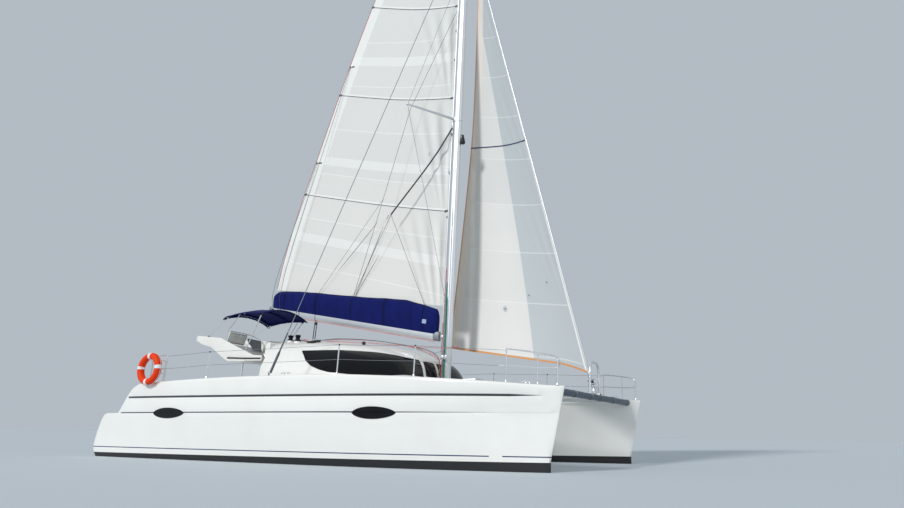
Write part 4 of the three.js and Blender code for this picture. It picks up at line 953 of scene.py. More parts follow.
# Forestay and furler: the sail's luff runs in an aluminium foil over the stay, turned by a drum that holds
# the turns of its line.
STAY_FOOT = Vector((5.665, 0, 1.47))
stay_x = lambda z: STAY_FOOT.x - (STAY_FOOT.x - 2.075) * (z - STAY_FOOT.z) / (HOUNDS - STAY_FOOT.z)
stay = lambda z: Vector((stay_x(z), 0, z))
lean = (stay(HOUNDS) - stay(1.5)).normalized()
foil = pipe("foil", [stay(1.95), stay(14.3)], 0.016, sides=16)
rod = pipe("rod", [stay(1.482), stay(HOUNDS)], 0.007)
DRUM = [
    (0.006, 0.0), (0.030, 0.0), (0.034, 0.02), (0.080, 0.03), (0.088, 0.036), (0.088, 0.044), (0.050, 0.05),
    (0.048, 0.12), (0.088, 0.127), (0.088, 0.135), (0.078, 0.142), (0.036, 0.15), (0.034, 0.20),
    (0.024, 0.26), (0.022, 0.34), (0.006, 0.34),
]
drum = turned("drum", DRUM, stay(1.63), lean)
toggle = block("toggle", (5.628, -0.014, 1.476), (5.668, 0.014, 1.58), 0.005, 2)
SWIVEL = [(0.017, 0), (0.034, 0.01), (0.036, 0.09), (0.03, 0.10), (0.017, 0.11)]
stay_parts = [foil, rod, drum, toggle, turned("swivel", SWIVEL, stay(14.12), lean, 24)]
place(joined("forestay_and_drum", stay_parts), "aluminium", mast_silver, "forestay_furler")
turns = []
for i in range(60):
    turns.append(stay(1.69 + 0.06 * i / 60) + Vector((0.055 * cos(i * 0.9), 0.055 * sin(i * 0.9), 0)))
place(pipe("furling_line_turns", turns, 0.005, smooth=2, sides=6), "netting", black_rope)


# Sails: cross-cut woven polyester in panels 1.25 to 1.4 m wide, lapped and double stitched, bellied to port
# by the wind. Batten pockets, webbing and the draft stripe are strips that follow the cloth.
# luff x, y, z, leech x, y, z, belly
MAIN = [
    (1.81, 0, luff, x, 0, leech, belly) for luff, x, leech, belly in (
        (3.62, -3.72, 4.46, 0.005), (4.70, -3.56, 5.40, 0.020), (6.30, -3.19, 6.88, 0.035),
        (7.70, -2.78, 8.17, 0.040), (9.90, -2.14, 10.23, 0.045), (11.95, -1.48, 12.18, 0.040),
        (13.60, -0.86, 13.80, 0.035), (15.30, 0.00, 15.45, 0.030), (16.50, 0.85, 16.60, 0.020),
        (17.30, 1.56, 17.34, 0.010),
    )
]
GENOA = [
    (stay_x(luff) - 0.024, 0, luff, x, y, leech, belly) for luff, x, y, leech, belly in (
        (2.02, 1.32, 1.100, 2.75, 0.010), (3.20, 1.48, 1.060, 4.00, 0.040), (5.20, 1.70, 0.980, 6.10, 0.060),
        (7.60, 1.95, 0.820, 8.44, 0.060), (9.80, 2.10, 0.610, 10.40, 0.055),
        (12.00, 2.26, 0.320, 12.40, 0.045), (13.20, 2.33, 0.150, 13.45, 0.030),
        (14.00, 2.21, 0.016, 14.08, 0.010),
    )
]
BELLY = fair([(0, 0), (1, 0.55), (2, 0.9), (3, 1), (4, 0.75), (5, 0.4), (6, 0)], 8)
UV_ACROSS, UV_UP = 6.0, 20.0
FOLD_STARTS = (3.3, 6.06, 9.25, 12.10, 15.0, 17.4)
BATTEN_RISE = 0.64
FAN_DEPTH, FAN_PITCH, FAN_REACH = 0.9, 0.15, 0.6
MAIN_CREASE, GENOA_CREASE = 0.040, 0.006


def folds(height, share, across):
    """Folds drawn by the luff's tension: they fan up and aft from the inner end of each batten, and die out
    below the next batten."""
    level = height - BATTEN_RISE * share
    bay = max(sum(start <= level for start in FOLD_STARTS[:-1]) - 1, 0)
    foot, top = FOLD_STARTS[bay], FOLD_STARTS[bay + 1]
    rise = min(1.0, max(0.0, (level - foot) / (top - foot)))
    angle = across / (FAN_DEPTH + max(0.0, level - foot))
    fade = max(0.0, 1 - angle / FAN_REACH) ** 1.5 * min(1.0, across / 0.1)
    return sin(2 * pi * angle / FAN_PITCH + foot) * fade * sin(pi * rise) ** 0.7


def on_sail(rows, share, height, off=0.0, creases=0.0):
    """A point on a sail at a share of the way from luff to leech, on the row that starts at a luff height."""
    row = read(np.column_stack([np.array(rows)[:, 2], rows]), height)[1:]
    luff, leech, belly = Vector(row[:3]), Vector(row[3:6]), row[6]
    chord = leech - luff
    out = Vector((-chord.y, chord.x, 0)).normalized()
    out *= 1 if out.y > 0 else -1
    deep = belly * float(np.interp(share * 6, BELLY[:, 0], BELLY[:, 1])) * chord.length
    deep += creases * folds(height, share, share * chord.length)
    dip = max(0.0, 1 - share * 6) ** 1.4 * max(0.0, 1 - (height - rows[0][2]) / 1.18) * (rows[0][2] < 3)
    spot = luff + chord * share + out * (deep + off) + Vector((0.03, 0, -0.11)) * dip
    return spot, chord.length * (1 - share)


def sail(name, rows, creases, across=84):
    rows = [tuple(row) for row in fair(rows, 8)]
    shares = np.linspace(0, 1, across + 1) ** 1.4
    spots = [[on_sail(rows, s, row[2], 0.0, creases) for s in shares] for row in rows]
    made = skin(name, [[tuple(p) for p, _ in line] for line in spots], wrap=False)
    near = lambda point: tuple(round(c, 4) for c in point)
    flat, depth = {}, {}
    for line, row in zip(spots, rows):
        for s, (point, away) in zip(shares, line):
            flat[near(point)] = (away / UV_ACROSS, row[2] / UV_UP)
            depth[near(point)] = creases / MAIN_CREASE * folds(row[2], s, s * line[0][1])
    uv = made.data.uv_layers[0].data
    for loop in made.data.loops:
        uv[loop.index].uv = flat[near(made.data.vertices[loop.vertex_index].co)]
    # The fold value on each point is read by the cloth to paint shade in the fold valleys and a highlight on
    # the crests.
    relief = made.data.attributes.new("folds", "FLOAT", "POINT")
    for vertex in made.data.vertices:
        relief.data[vertex.index].value = depth[near(vertex.co)]
    return made, rows


def strip(name, rows, start, end, half, off, creases=0.0, steps=40, span=(0.0, 1.0)):
    """A tape sewn across a sail from one luff height at the luff to another at the leech."""
    lines = []
    for side, lift in ((-1, off), (1, off), (1, off + 0.0015), (-1, off + 0.0015)):
        line = []
        for s in np.linspace(*span, steps):
            z = start + (end - start) * s + side * half
            line.append(tuple(on_sail(rows, s, z, lift, creases)[0]))
        lines.append(line)
    return skin(name, np.array(lines).transpose(1, 0, 2))


def sailcloth(name, base, first, spacing, tilt, luff_shade_line, edge, bands=()):
    """Woven polyester: slightly different whites from panel to panel and in broad soft patches, pale double
    seams, painted shade in the valleys of the folds and a painted highlight on their crests, and a cooler
    grey painted shade on the luff side forward of a straight line. U is the distance from the leech and V the
    height on the luff."""
    made, tree, spot = patterned(name, base, 0.62, Sheen_Weight=0.12)
    flat = node(tree, "TexCoord", out="UV")
    at = {name: node(tree, "SeparateXYZ", {"Vector": flat}, axis) for name, axis in (("U", "X"), ("V", "Y"))}
    at |= {axis: node(tree, "SeparateXYZ", {"Vector": spot}, axis) for axis in "XZ"}
    at["bloom"] = node(tree, "TexNoise", {"Vector": spot, "Scale": 0.9, "Detail": 3.0})
    at["weave"] = node(tree, "TexNoise", {"Vector": spot, "Scale": 420.0, "Detail": 1.0})
    at["fold"] = node(tree, "Attribute", out="Fac", attribute_name="folds")
    for name, kind, *values in (
        ("away", "MULTIPLY", "U", UV_ACROSS), ("luff height", "MULTIPLY", "V", UV_UP),
        ("up", "MULTIPLY_ADD", "away", tilt, "luff height"),
        ("panels", "MULTIPLY_ADD", "up", 1 / spacing, 0.5 - first / spacing), ("panel", "ADD", "panels", 0.5),
        ("panel", "FLOOR", "panel"), ("panel", "MULTIPLY", "panel", 12.9), ("panel", "SINE", "panel"),
        ("panel", "MULTIPLY", "panel", 43.7), ("panel", "FRACT", "panel"),
        # painted shade: the luff side forward of a straight line is laid over with a cooler grey
        ("forward", "MULTIPLY_ADD", "Z", 0.184, "X"), ("painted luff shade", "GREATER_THAN", "forward", luff_shade_line),
        *[(f"band {height}", "COMPARE", "up", height, half) for height, half in bands],
        ("lap", "FRACT", "panels"), ("lap", "COMPARE", "lap", 0.5, 0.016 / spacing),
        # painted shade in the fold valleys and a painted highlight on the fold crests
        ("painted fold shade", "MULTIPLY", "fold", -0.62), ("painted fold shade", "MAXIMUM", "painted fold shade", 0.0),
        ("painted fold highlight", "MULTIPLY", "fold", 0.5), ("painted fold highlight", "MAXIMUM", "painted fold highlight", 0.0),
        *[(f"edge {limit}", "LESS_THAN", "away", limit) for limit, _, _ in edge],
        ("stitch", "MULTIPLY", "away", 60), ("stitch", "FRACT", "stitch"),
        ("stitch", "COMPARE", "stitch", 0.5, 0.3), ("stitch", "MULTIPLY", "stitch", "lap"),
        ("sunk", "MULTIPLY", "stitch", -0.5), ("seam", "ADD", "lap", "sunk"),
        ("height", "MULTIPLY_ADD", "weave", 0.12, "seam"),
    ):
        at[name] = node(tree, "Math", {i: at.get(v, v) for i, v in enumerate(values)}, operation=kind)
    shade = base
    # The luff shade, the fold shade and the fold highlight are painted light; the other tints are the cloth's
    # own.
    for name, share, tint in (
        ("panel", 0.45, "d3d3cf"), ("bloom", 0.35, "cfd0ce"), ("painted luff shade", 0.75, "b4bdc0"),
        *[(f"band {height}", 0.45, "efeeea") for height, _ in bands],
        ("lap", 0.4, "f4f3f0"), ("painted fold shade", 1.0, "8f9291"), ("painted fold highlight", 1.0, "f6f5f2"),
        *[(f"edge {limit}", share, tint) for limit, tint, share in edge],
    ):
        laid = node(tree, "Math", {0: at[name], 1: share}, operation="MULTIPLY")
        shade = node(tree, "Mix", {SHARE: laid, UNDER: shade, OVER: tint}, **LAYERED)
    bump = node(tree, "Bump", {"Height": at["height"], "Strength": 0.35, "Distance": 0.002})
    return fed(made, Base_Color=shade, Normal=bump)


def cloth_area(piece):
    return sum(face.area for face in piece.data.polygons)


# The mainsail's base colour is greyed as painted shade; its luff shade line at 99.0 lies beyond the sail.
main_cloth = sailcloth(
    "mainsail cloth", "dddbd5", 4.6, 1.4, 0.13, 99.0, ((0.32, "f0efec", 0.6),),
    ((5.42, 0.13), (7.80, 0.13), (11.0, 0.14)),
)
mainsail, main_rows = sail("mainsail_cloth", MAIN, MAIN_CREASE)
place(mainsail, "sailcloth", main_cloth, "mainsail", angle=60, body="boom_rig")
cloth_area(mainsail)
# Woven polyester tape is matt with a slight fuzz.
tape_white = finish("sewn tape", "ecebe7", 0.7, Sheen_Weight=0.2)
BATTENS = [(6.06, 6.69), (9.25, 9.89), (12.10, 12.74), (15.0, 15.5)]
pockets, rods = [], []
for start, end in BATTENS:
    pockets.append(strip("pocket", main_rows, start + 0.03, end + 0.03, 0.028, 0.003, MAIN_CREASE))
    pockets.append(strip("pocket", main_rows, start + 0.03, end + 0.03, 0.028, -0.0045, MAIN_CREASE))
    # Two dark grey tubes run just under each pocket's lower edge, one each side of the cloth: painted shade
    # under the pocket.
    for off in (0.009, -0.009):
        route = [
            on_sail(main_rows, s, start + (end - start) * s - 0.004, off, MAIN_CREASE)[0]
            for s in np.linspace(0.0, 1.0, 40)
        ]
        rods.append(pipe("rod", route, 0.0065))
    for s in (0.008, 0.992):
        spot, _ = on_sail(main_rows, s, start + (end - start) * s)
        half = Vector((0.045, 0.018, 0.03))
        rods.append(block("box", spot - half, spot + half, 0.008, 2))
for at in (5.9, 7.1, 8.2, 10.4, 11.3, 13.2, 14.1, 16.0):
    spot, _ = on_sail(main_rows, 0.0, at)
    rods.append(block(
        "slide", spot - Vector((0.02, 0.012, 0.035)), spot + Vector((0.022, 0.012, 0.035)), 0.004, 1
    ))
place(joined("batten_pockets", pockets), "sailcloth", tape_white, body="boom_rig")
# Batten end boxes and luff slides in grey; the same grey paints the shade tubes under the pockets.
batten_grey_and_shade = finish("batten elastic and painted shade", "55585b", 0.5)
place(joined("batten_shade_tubes_and_luff_slides", rods), "antifouling", batten_grey_and_shade, body="boom_rig")
leech_red = rope("b5272d", "e6b8b0", "red leech tape")
route = [on_sail(main_rows, 1.0, z)[0] for z in np.linspace(3.66, 17.25, 60)]
place(pipe("leech_tape", route, 0.010), "netting", leech_red, body="boom_rig")
luff_rope = [on_sail(main_rows, 0.0, z)[0] + Vector((-0.01, 0, 0)) for z in np.linspace(3.66, 17.25, 30)]
place(pipe("luff_rope", luff_rope, 0.009), "sailcloth", tape_white, body="boom_rig")
rings = []
for share, heights in ((0.99, (7.69, 10.80)), (0.01, (7.20, 10.25))):
    for at in heights:
        rings.append(ring("reef_ring", on_sail(main_rows, share, at)[0], 0.036, 0.008, (pi / 2, 0, 0)))
place(joined("reef_rings", rings), "stainless", steel, body="boom_rig")
dark_patch = finish("reef webbing", "3b3e42", 0.75, Sheen_Weight=0.2)
webs = []
for at in (7.69, 10.8):
    for off in (0.004, -0.006):
        webs.append(strip("web", main_rows, at - 0.02, at, 0.02, off, MAIN_CREASE, 8, (0.955, 1.0)))
place(joined("reef_webbing", webs), "netting", dark_patch, body="boom_rig")
DRAFT_DOTS = ((0.15, 7.78), (0.388, 6.04))
flecks = []
for share, at in DRAFT_DOTS:
    spot, _ = on_sail(main_rows, share, at, 0.0, MAIN_CREASE)
    yarn = [spot + Vector(p) for p in ((0, -0.006, 0), (-0.02, -0.012, -0.06), (-0.05, -0.01, -0.11))]
    flecks.append(pipe("yarn", yarn, 0.004, smooth=4, sides=6))
place(joined("mainsail_telltales", flecks), "netting", dark_patch, body="boom_rig")

# Forward of x + 0.184 z = 4.498 the genoa's luff side is painted a cooler grey as painted shade.
genoa_cloth = sailcloth(
    "genoa cloth", "e9e7e2", 3.25, 1.25, -0.04, 4.498, ((0.30, "f1e6da", 0.8), (0.045, "e3a06a", 0.85))
)
genoa, genoa_rows = sail("genoa_cloth", GENOA, GENOA_CREASE)
place(genoa, "sailcloth", genoa_cloth, "genoa", angle=60)
cloth_area(genoa)
navy_thread = finish("navy draft stripe", "1b2a5a", 0.6, Sheen_Weight=0.1)
stripes = [strip("stripe", genoa_rows, 7.62, 7.27, 0.016, off) for off in (0.003, -0.0045)]
place(joined("draft_stripe", stripes), "netting", navy_thread)
tan_tape = finish("weathered edge tape", "d99a62", 0.7, Sheen_Weight=0.15)
hem = []
for off in (0.003, -0.0045):
    hem.append(strip("foot", genoa_rows, 2.043, 2.043, 0.023, off, 0.0, 50))
place(joined("genoa_foot_tape", hem), "sailcloth", tan_tape)
luff_tape = finish("luff tape", "f5f4f0", 0.55, Sheen_Weight=0.1)
edge_rows = []
for side, off in ((0.0, -0.004), (0.012, -0.004), (0.012, 0.004), (0.0, 0.004)):
    edge_rows.append([
        tuple(on_sail(genoa_rows, side, z, off)[0] + Vector((0.004, 0, 0)))
        for z in np.linspace(2.05, 13.95, 50)
    ])
place(skin("genoa_luff_tape", np.array(edge_rows).transpose(1, 0, 2)), "sailcloth", luff_tape)
dots, windows = [], []
for share, at in ((0.562, 3.14), (0.35, 3.54), (0.163, 3.90)):
    row_long = on_sail(genoa_rows, 0.0, at)[1]
    for radius, off, into in ((0.075, 0.0018, windows), (0.020, 0.0032, dots)):
        for lift in (off, -off):
            rim = []
            for a in circle(24):
                spot = share + radius * cos(a) / row_long, at + radius * sin(a)
                rim.append(tuple(on_sail(genoa_rows, *spot, lift)[0]))
            centre = on_sail(genoa_rows, share, at, lift)[0]
            into.append(skin("dot", [rim, [tuple(centre)] * 24], caps=False))
place(
    joined("telltale_windows", windows), "tinted_glass", finish("clear film", "c4cbcd", 0.2, Coat_Weight=0.4)
)
place(joined("genoa_telltales", dots), "netting", dark_patch)
clew = on_sail(genoa_rows, 1.0, 2.02)[0] + Vector((0.045, -0.01, 0.045))
place(ring("genoa_clew_ring", clew, 0.034, 0.008, (pi / 2, 0, 0.3)), "stainless", steel)


# Boom: a rounded extrusion rising aft, with cast ends, two lugs on the gooseneck pin, reef lines that leave
# the aft end for the leech, and a red and a white line along its underside.
BOOM_FRONT, BOOM_HALF, BOOM_TALL, BOOM_Z, BOOM_RISE = 1.764, 0.062, 0.235, 2.755, 0.187
boom_low = lambda x: BOOM_Z + (BOOM_FRONT - x) * BOOM_RISE
soft = lambda v: abs(v) ** 0.62 * (1 if v > 0 else -1)


def boom_ring(x, k, grow=0.0):
    """A section of the boom, a rounded rectangle, shrunk or grown."""
    wide, half = BOOM_HALF * k + grow, BOOM_TALL * k * 0.5
    return [(x, wide * soft(cos(a)), boom_low(x) + half + (half + grow) * soft(sin(a))) for a in circle(36)]


spar = skin(
    "boom_tube", [boom_ring(x, k) for x, k in ((1.60, 1), (0, 1), (-1.6, 1), (-3.18, 1), (-3.78, 0.83))]
)
slot = block("foot_track", (-3.1, -0.012, 0.0), (1.5, 0.012, 0.012), 0.003, 1)
for corner in slot.data.vertices:
    corner.co.z += boom_low(corner.co.x) + BOOM_TALL - 0.004
FRONT_CAST = ((1.764, 0.93, -0.004), (1.755, 1, 0), (1.62, 1, 0.001), (1.60, 1, 0.0))
AFT_CAST = ((-3.78, 0.83, 0.0), (-3.79, 0.83, 0.002), (-3.865, 0.805, 0.0), (-3.88, 0.76, -0.004))
ends = [skin("casting", [boom_ring(*row) for row in rows]) for rows in (FRONT_CAST, AFT_CAST)]
for z in (2.827, 2.901):
    lug = prism("lug", [(1.822, -0.016), (1.822, 0.016), (1.744, 0.040), (1.744, -0.040)], "z", z, z + 0.012)
    cut(lug, pipe("lug_hole", [(AXIS_X, 0, z - 0.02), (AXIS_X, 0, z + 0.03)], 0.0105, sides=20))
    ends.append(lug)
place(joined("boom_tube", [spar, slot]), "aluminium", mast_silver, "boom", angle=35, body="boom_rig")
cast_grey = anodised("painted casting", "8d9195", 0.5)
place(joined("boom_castings", ends), "aluminium", cast_grey, angle=35, body="boom_rig")
for name, material, radius, y, drop, start, stop in (
    ("red", red_rope, 0.008, -0.030, 0.012, 1.66, -3.70),
    ("white", white_rope, 0.006, 0.018, 0.010, 1.62, -3.76)
):
    route = [(start, y, boom_low(start) + 0.03), (start - 0.05, y, boom_low(start) - drop)]
    route += [
        (x, y, boom_low(x) - drop - 0.006 * sin(2.2 * x) ** 2)
        for x in np.linspace(start - 0.3, stop + 0.2, 14)
    ]
    route += [(stop + 0.04, y, boom_low(stop) - drop), (stop, y, boom_low(stop) + 0.03)]
    place(pipe(f"reef_line_under_boom_{name}", route, radius, smooth=3), "netting", material, body="boom_rig")
leech_one, leech_two = on_sail(main_rows, 0.99, 7.69)[0], on_sail(main_rows, 0.99, 10.80)[0]
for name, material, y, aft, top in (
    ("one", teal_rope, -0.05, -3.74, leech_one), ("two", grey_rope, -0.056, -3.45, leech_two),
    ("one_port", teal_rope, 0.05, -3.70, leech_one), ("two_port", grey_rope, 0.056, -3.40, leech_two),
):
    side = 0.022 if y > 0 else -0.022
    route = [
        (aft, y, boom_low(aft) + 0.10), (aft + 0.01, 2.6 * y, boom_low(aft) + 0.5),
        tuple(top + Vector((0, side, -0.03))),
    ]
    place(pipe(f"reef_line_{name}", route, 0.0055, smooth=6), "netting", material, body="boom_rig")
CHEEK = [(0.004, 0), (0.036, 0), (0.038, 0.006), (0.034, 0.018), (0.010, 0.022), (0.004, 0.022)]
cheeks = []
for y in (-BOOM_HALF, BOOM_HALF):
    for x in (-3.74, -3.52):
        cheeks.append(turned("cheek", CHEEK, (x, y * 0.97, boom_low(x) + 0.10), (0, y, 0), 24))
place(joined("boom_end_blocks", cheeks), "antifouling", rubber, body="boom_rig")


# Sail bag: acrylic canvas sides laced to the boom, held up by the lazy jacks, with the mainsail rising out
# of its open top; the cloth sags a little between the webbing loops.
def canvas(name, colour, faded, scale=900.0):
    """Woven acrylic: a plain weave, drawn 7 mm wide so that it shows, dulled by sun in broad patches."""
    made, tree, spot = patterned(name, colour, 0.85, Sheen_Weight=0.04, Specular_IOR_Level=0.12)
    worn = node(tree, "TexNoise", {"Vector": spot, "Scale": 3.5, "Detail": 5.0})
    at = {axis: node(tree, "SeparateXYZ", {"Vector": spot}, axis) for axis in "XYZ"}
    at["crumple"] = node(tree, "TexNoise", {"Vector": spot, "Scale": 9.0, "Detail": 3.0})
    for name, kind, *values in (
        ("warp", "MULTIPLY", "X", scale), ("warp", "SINE", "warp"), ("weft", "MULTIPLY", "Y", 0.7),
        ("weft", "ADD", "Z", "weft"), ("weft", "MULTIPLY", "weft", scale), ("weft", "SINE", "weft"),
        ("weave", "MULTIPLY", "warp", "weft"), ("weave", "MULTIPLY", "weave", 0.5),
        ("height", "MULTIPLY_ADD", "crumple", 6.0, "weave"),
    ):
        at[name] = node(tree, "Math", {i: at.get(v, v) for i, v in enumerate(values)}, operation=kind)
    return toned(made, worn, colour, faded, at["height"], 0.5, 0.0012)


navy = canvas("navy acrylic canvas", "08104c", "0e1b64")
BAG = [
    (1.69, 3.48), (1.64, 3.56), (0.74, 3.85), (-0.76, 4.04), (-2.86, 4.35), (-3.60, 4.40), (-3.74, 4.33),
]
BAG_HALF = fair([(0.070, 0), (0.103, 0.25), (0.112, 0.6), (0.080, 0.90), (0.020, 1)], 4)
LOOPS = (1.30, 0.10, -0.95, -2.15, -3.30)


def bag_top(x):
    """The height of the bag's upper edge at a place along the boom."""
    return float(np.interp(-x, [-row[0] for row in BAG], [row[1] for row in BAG]))


def bag_side(x, top, sign):
    low = boom_low(x) + BOOM_TALL - 0.075
    near = min(abs(x - at) for at in LOOPS)
    sag = 0.010 * min(1, near / 0.3)
    end = 1 - 0.38 * float(np.interp(x, (-3.74, -3.6, 1.6, 1.69), (1, 0, 0, 1)))
    out = []
    for half, t in BAG_HALF:
        ripple = 0.006 * sin(21 * x + 5 * t) * sin(pi * t)
        out.append((x, sign * (max(half * end, 0.018) + ripple * end), low + t * (top - low - sag * t)))
    return out


bag_x = np.concatenate([[1.69, 1.675, 1.64], np.linspace(1.58, -3.58, 90), [-3.64, -3.70, -3.74]])
tops = [bag_top(x) for x in bag_x]
sides = [
    skin("side", [bag_side(x, top, sign) for x, top in zip(bag_x, tops)], wrap=False)
    for sign in (1, -1)
]
for i in (0, -1):
    rows = []
    for a, b in zip(*[bag_side(bag_x[i], tops[i], sign) for sign in (1, -1)]):
        rows.append([tuple(Vector(a).lerp(Vector(b), t)) for t in np.linspace(0, 1, 6)])
    sides.append(skin("end", rows, wrap=False))
bag = joined("sail_bag_canvas", sides)
place(bag, "navy_canvas", navy, "sail_bag", angle=60, body="boom_rig")
seam_parts, webbing = [], []
for sign in (1, -1):
    for x in np.linspace(0.95, -3.0, 6):
        top = bag_top(x)
        spots = [Vector(p) + Vector((0, sign * 0.0015, 0)) for p in bag_side(x, top, sign)]
        seam_parts.append(pipe("seam", spots, 0.003, sides=6))
    for x in LOOPS:
        top = bag_top(x)
        spots = [Vector(p) + Vector((0, sign * 0.002, 0)) for p in bag_side(x, top, sign)]
        tape = [[tuple(p + Vector((d, 0, 0))) for p in spots] for d in (-0.016, 0.016)]
        webbing.append(skin("web", tape, wrap=False))
    edge = [Vector(bag_side(x, top, sign)[-1]) for x, top in zip(bag_x, tops)]
    seam_parts.append(pipe("bolt_rope", edge, 0.007))
navy_piping = canvas("navy piping", "050a26", "0b1236")
place(joined("sail_bag_seams", seam_parts), "navy_canvas", navy_piping, body="boom_rig")
web = joined("sail_bag_webbing", webbing)
apply(web, "SOLIDIFY", thickness=0.002, offset=0.0)
place(web, "navy_canvas", navy_piping, body="boom_rig")
PATCH = rounded([(1.30, 3.21), (1.42, 3.19), (1.43, 3.29), (1.31, 3.31)], 0.01)
label = prism("sail_bag_patch", PATCH, "y", -0.1205, -0.112)
place(label, "sailcloth", canvas("pale bare patch", "8ea3c4", "a5b5cf"), body="boom_rig")


# Lazy jacks: braided lines from the mast to the bag on both sides, which hold the bag up and catch the sail;
# the part by the mast runs in a grey sleeve. They stretch between the boat and the boom.
for side, sign in SIDES:
    knot = Vector((0.20, sign * 0.20, 6.12))
    sleeve = [Vector((1.88, sign * 0.083, 8.32)), Vector((1.45, sign * 0.15, 7.60)), knot]
    parts = [pipe("sleeve", sleeve, 0.020, smooth=8, sides=12)]
    legs = []
    for x in (LOOPS[0], LOOPS[2]):
        top = bag_top(x)
        legs.append(pipe("leg", [knot, (x, sign * 0.028, top - 0.005)], 0.005))
    upper = [(0.59, sign * 0.19, 9.11), (-0.09, sign * 0.20, 6.59), (-0.95, sign * 0.03, 4.06)]
    legs.append(pipe("upper_leg", upper, 0.005))
    legs.append(pipe("upper_line", [(1.87, sign * 0.082, 11.9), (0.59, sign * 0.19, 9.11)], 0.005))
    legs.append(pipe("aft_leg", [(-0.09, sign * 0.20, 6.59), (LOOPS[3], sign * 0.028, 4.245)], 0.004))
    sleeve_piece = place(joined(f"lazy_jack_sleeve_{side}", parts), "netting", grey_rope, body=None)
    leg_piece = place(joined(f"lazy_jack_lines_{side}", legs), "netting", grey_rope, body=None)
    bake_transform(sleeve_piece)
    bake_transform(leg_piece)


# Mainsheet: a black braided tackle of four falls, from a block strapped under the boom to a car on an
# aluminium track that is bolted across the hardtop.
track = block("track_rail", (-2.206, -1.0, 2.783), (-2.174, 1.9, 2.803), 0.003, 1)
car = block("traveller_car", (-2.25, -0.06, 2.80), (-2.13, 0.06, 2.845), 0.012, 3)
place(joined("mainsheet_track", [track, car]), "aluminium", cast_grey)
SHEAVE = [(0.004, -0.006), (0.036, -0.006), (0.040, 0), (0.036, 0.006), (0.004, 0.006)]


def sheave_block(name, at, up=1):
    x, y, z = at
    cheek = [turned("cheek", SHEAVE, (x, y + d, z), (0, 1, 0), 24) for d in (-0.018, 0.0, 0.018)]
    stem = pipe("stem", [(x, y, z), (x, y, z + 0.075 * up)], 0.006)
    return joined(name, [*cheek, stem])


sheet_top = boom_low(-2.17)
upper_block = sheave_block("mainsheet_upper_block", (-2.17, 0, sheet_top - 0.07))
place(upper_block, "antifouling", rubber, body="boom_rig")
place(sheave_block("mainsheet_lower_block", (-2.19, 0, 2.915), -1), "antifouling", rubber)
falls = []
for dx, dy in ((0.034, -0.009), (-0.034, -0.009), (0.034, 0.009), (-0.034, 0.009)):
    falls.append(pipe("fall", [(-2.17 + dx, dy, sheet_top - 0.08), (-2.19 + dx, dy, 2.92)], 0.006))
falls.append(pipe("tail", [(-2.75, 0, boom_low(-2.75) + 0.004), (-3.2, 0, 2.855)], 0.006))
tackle = place(joined("mainsheet_falls", falls), "netting", black_rope, body=None)
clamp = []
for x in (-2.75, -2.17):
    clamp.append(pipe("boom_strap", boom_ring(x, 1, 0.003), 0.007, closed=True, sides=6))
place(joined("boom_straps", clamp), "antifouling", rubber, body="boom_rig")
PAD_EYE = [(0.004, 0), (0.03, 0), (0.03, 0.005), (0.012, 0.012), (0.010, 0.026), (0.004, 0.028)]
foot = turned("tail_pad_eye", PAD_EYE, (-3.2, 0, 2.832), steps=20)
place(foot, "stainless", steel)
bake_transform(tackle)


# Helm: a moulded console on the bulkhead with an instrument panel, engine levers and a compass, and a
# stainless wheel with a stitched leather rim on five spokes.
HELM_Y = -1.8
CONSOLE = [
    (-1.3003, 1.79), (-1.3003, 2.56), (-1.345, 2.59), (-1.42, 2.54), (-1.44, 2.35), (-1.40, 2.10),
    (-1.40, 1.79),
]
console = prism("helm_console_moulding", CONSOLE, "y", -2.3, -1.32)
foot = block("footing", (-1.5, -2.3, 1.735), (-1.3003, -1.64, 1.80))
cut(console, foot, operation="UNION")
soften(console, 0.014, 3, 28)
cut(console, pipe("shaft_hole", [(-1.6, HELM_Y, 2.23), (-1.36, HELM_Y, 2.23)], 0.0215, sides=24))
place(console, "gelcoat", white_deck, "helm_console", angle=35)
# Moulded black plastic with a satin face, and display glass over it that mirrors the sky.
panel_black = finish("instrument panel", "16181b", 0.35, Coat_Weight=0.2)
DISPLAYS, LEVERS = ((-2.02, 0.16), (-1.66, 0.14)), (-2.245, -2.195)
panels = [
    block("panel", (-1.446, y - half, 2.40), (-1.424, y + half, 2.52), 0.006, 2)
    for y, half in DISPLAYS
]
panels.append(block("switches", (-1.415, -1.55, 2.14), (-1.396, -1.38, 2.30), 0.005, 2))
COMPASS = [(0.004, 0.0), (0.058, 0.0), (0.058, 0.03), (0.050, 0.05), (0.034, 0.072), (0.012, 0.083)]
panels.append(turned("compass", [*COMPASS, (0.004, 0.084)], (-1.37, HELM_Y - 0.02, 2.582)))
LEVER_BASE = [(0.004, 0), (0.05, 0), (0.045, 0.03), (0.004, 0.034)]
panels.append(turned("lever_base", LEVER_BASE, (-1.412, -2.22, 2.22), (-1, 0, 0.12), 24))
place(joined("helm_instruments", panels), "antifouling", panel_black)
screen = finish("dark display glass", "0b0e12", 0.08, IOR=1.5, Coat_Weight=0.5)
glasses = []
for y, half in DISPLAYS:
    half -= 0.015
    glasses.append(block("glass", (-1.4485, y - half, 2.412), (-1.4445, y + half, 2.508), 0.002, 1))
place(joined("helm_displays", glasses), "tinted_glass", screen)
KNOB = [(0.003, 0), (0.016, 0.004), (0.018, 0.016), (0.010, 0.026), (0.003, 0.027)]
levers = [
    pipe("lever", [(-1.44, y, 2.22), (-1.50, y, 2.30), (-1.52, y, 2.34)], 0.008, smooth=4)
    for y in LEVERS
]
levers += [turned("knob", KNOB, (-1.52, y, 2.335), (-0.4, 0, 1), 16) for y in LEVERS]
place(joined("engine_levers", levers), "stainless", steel)

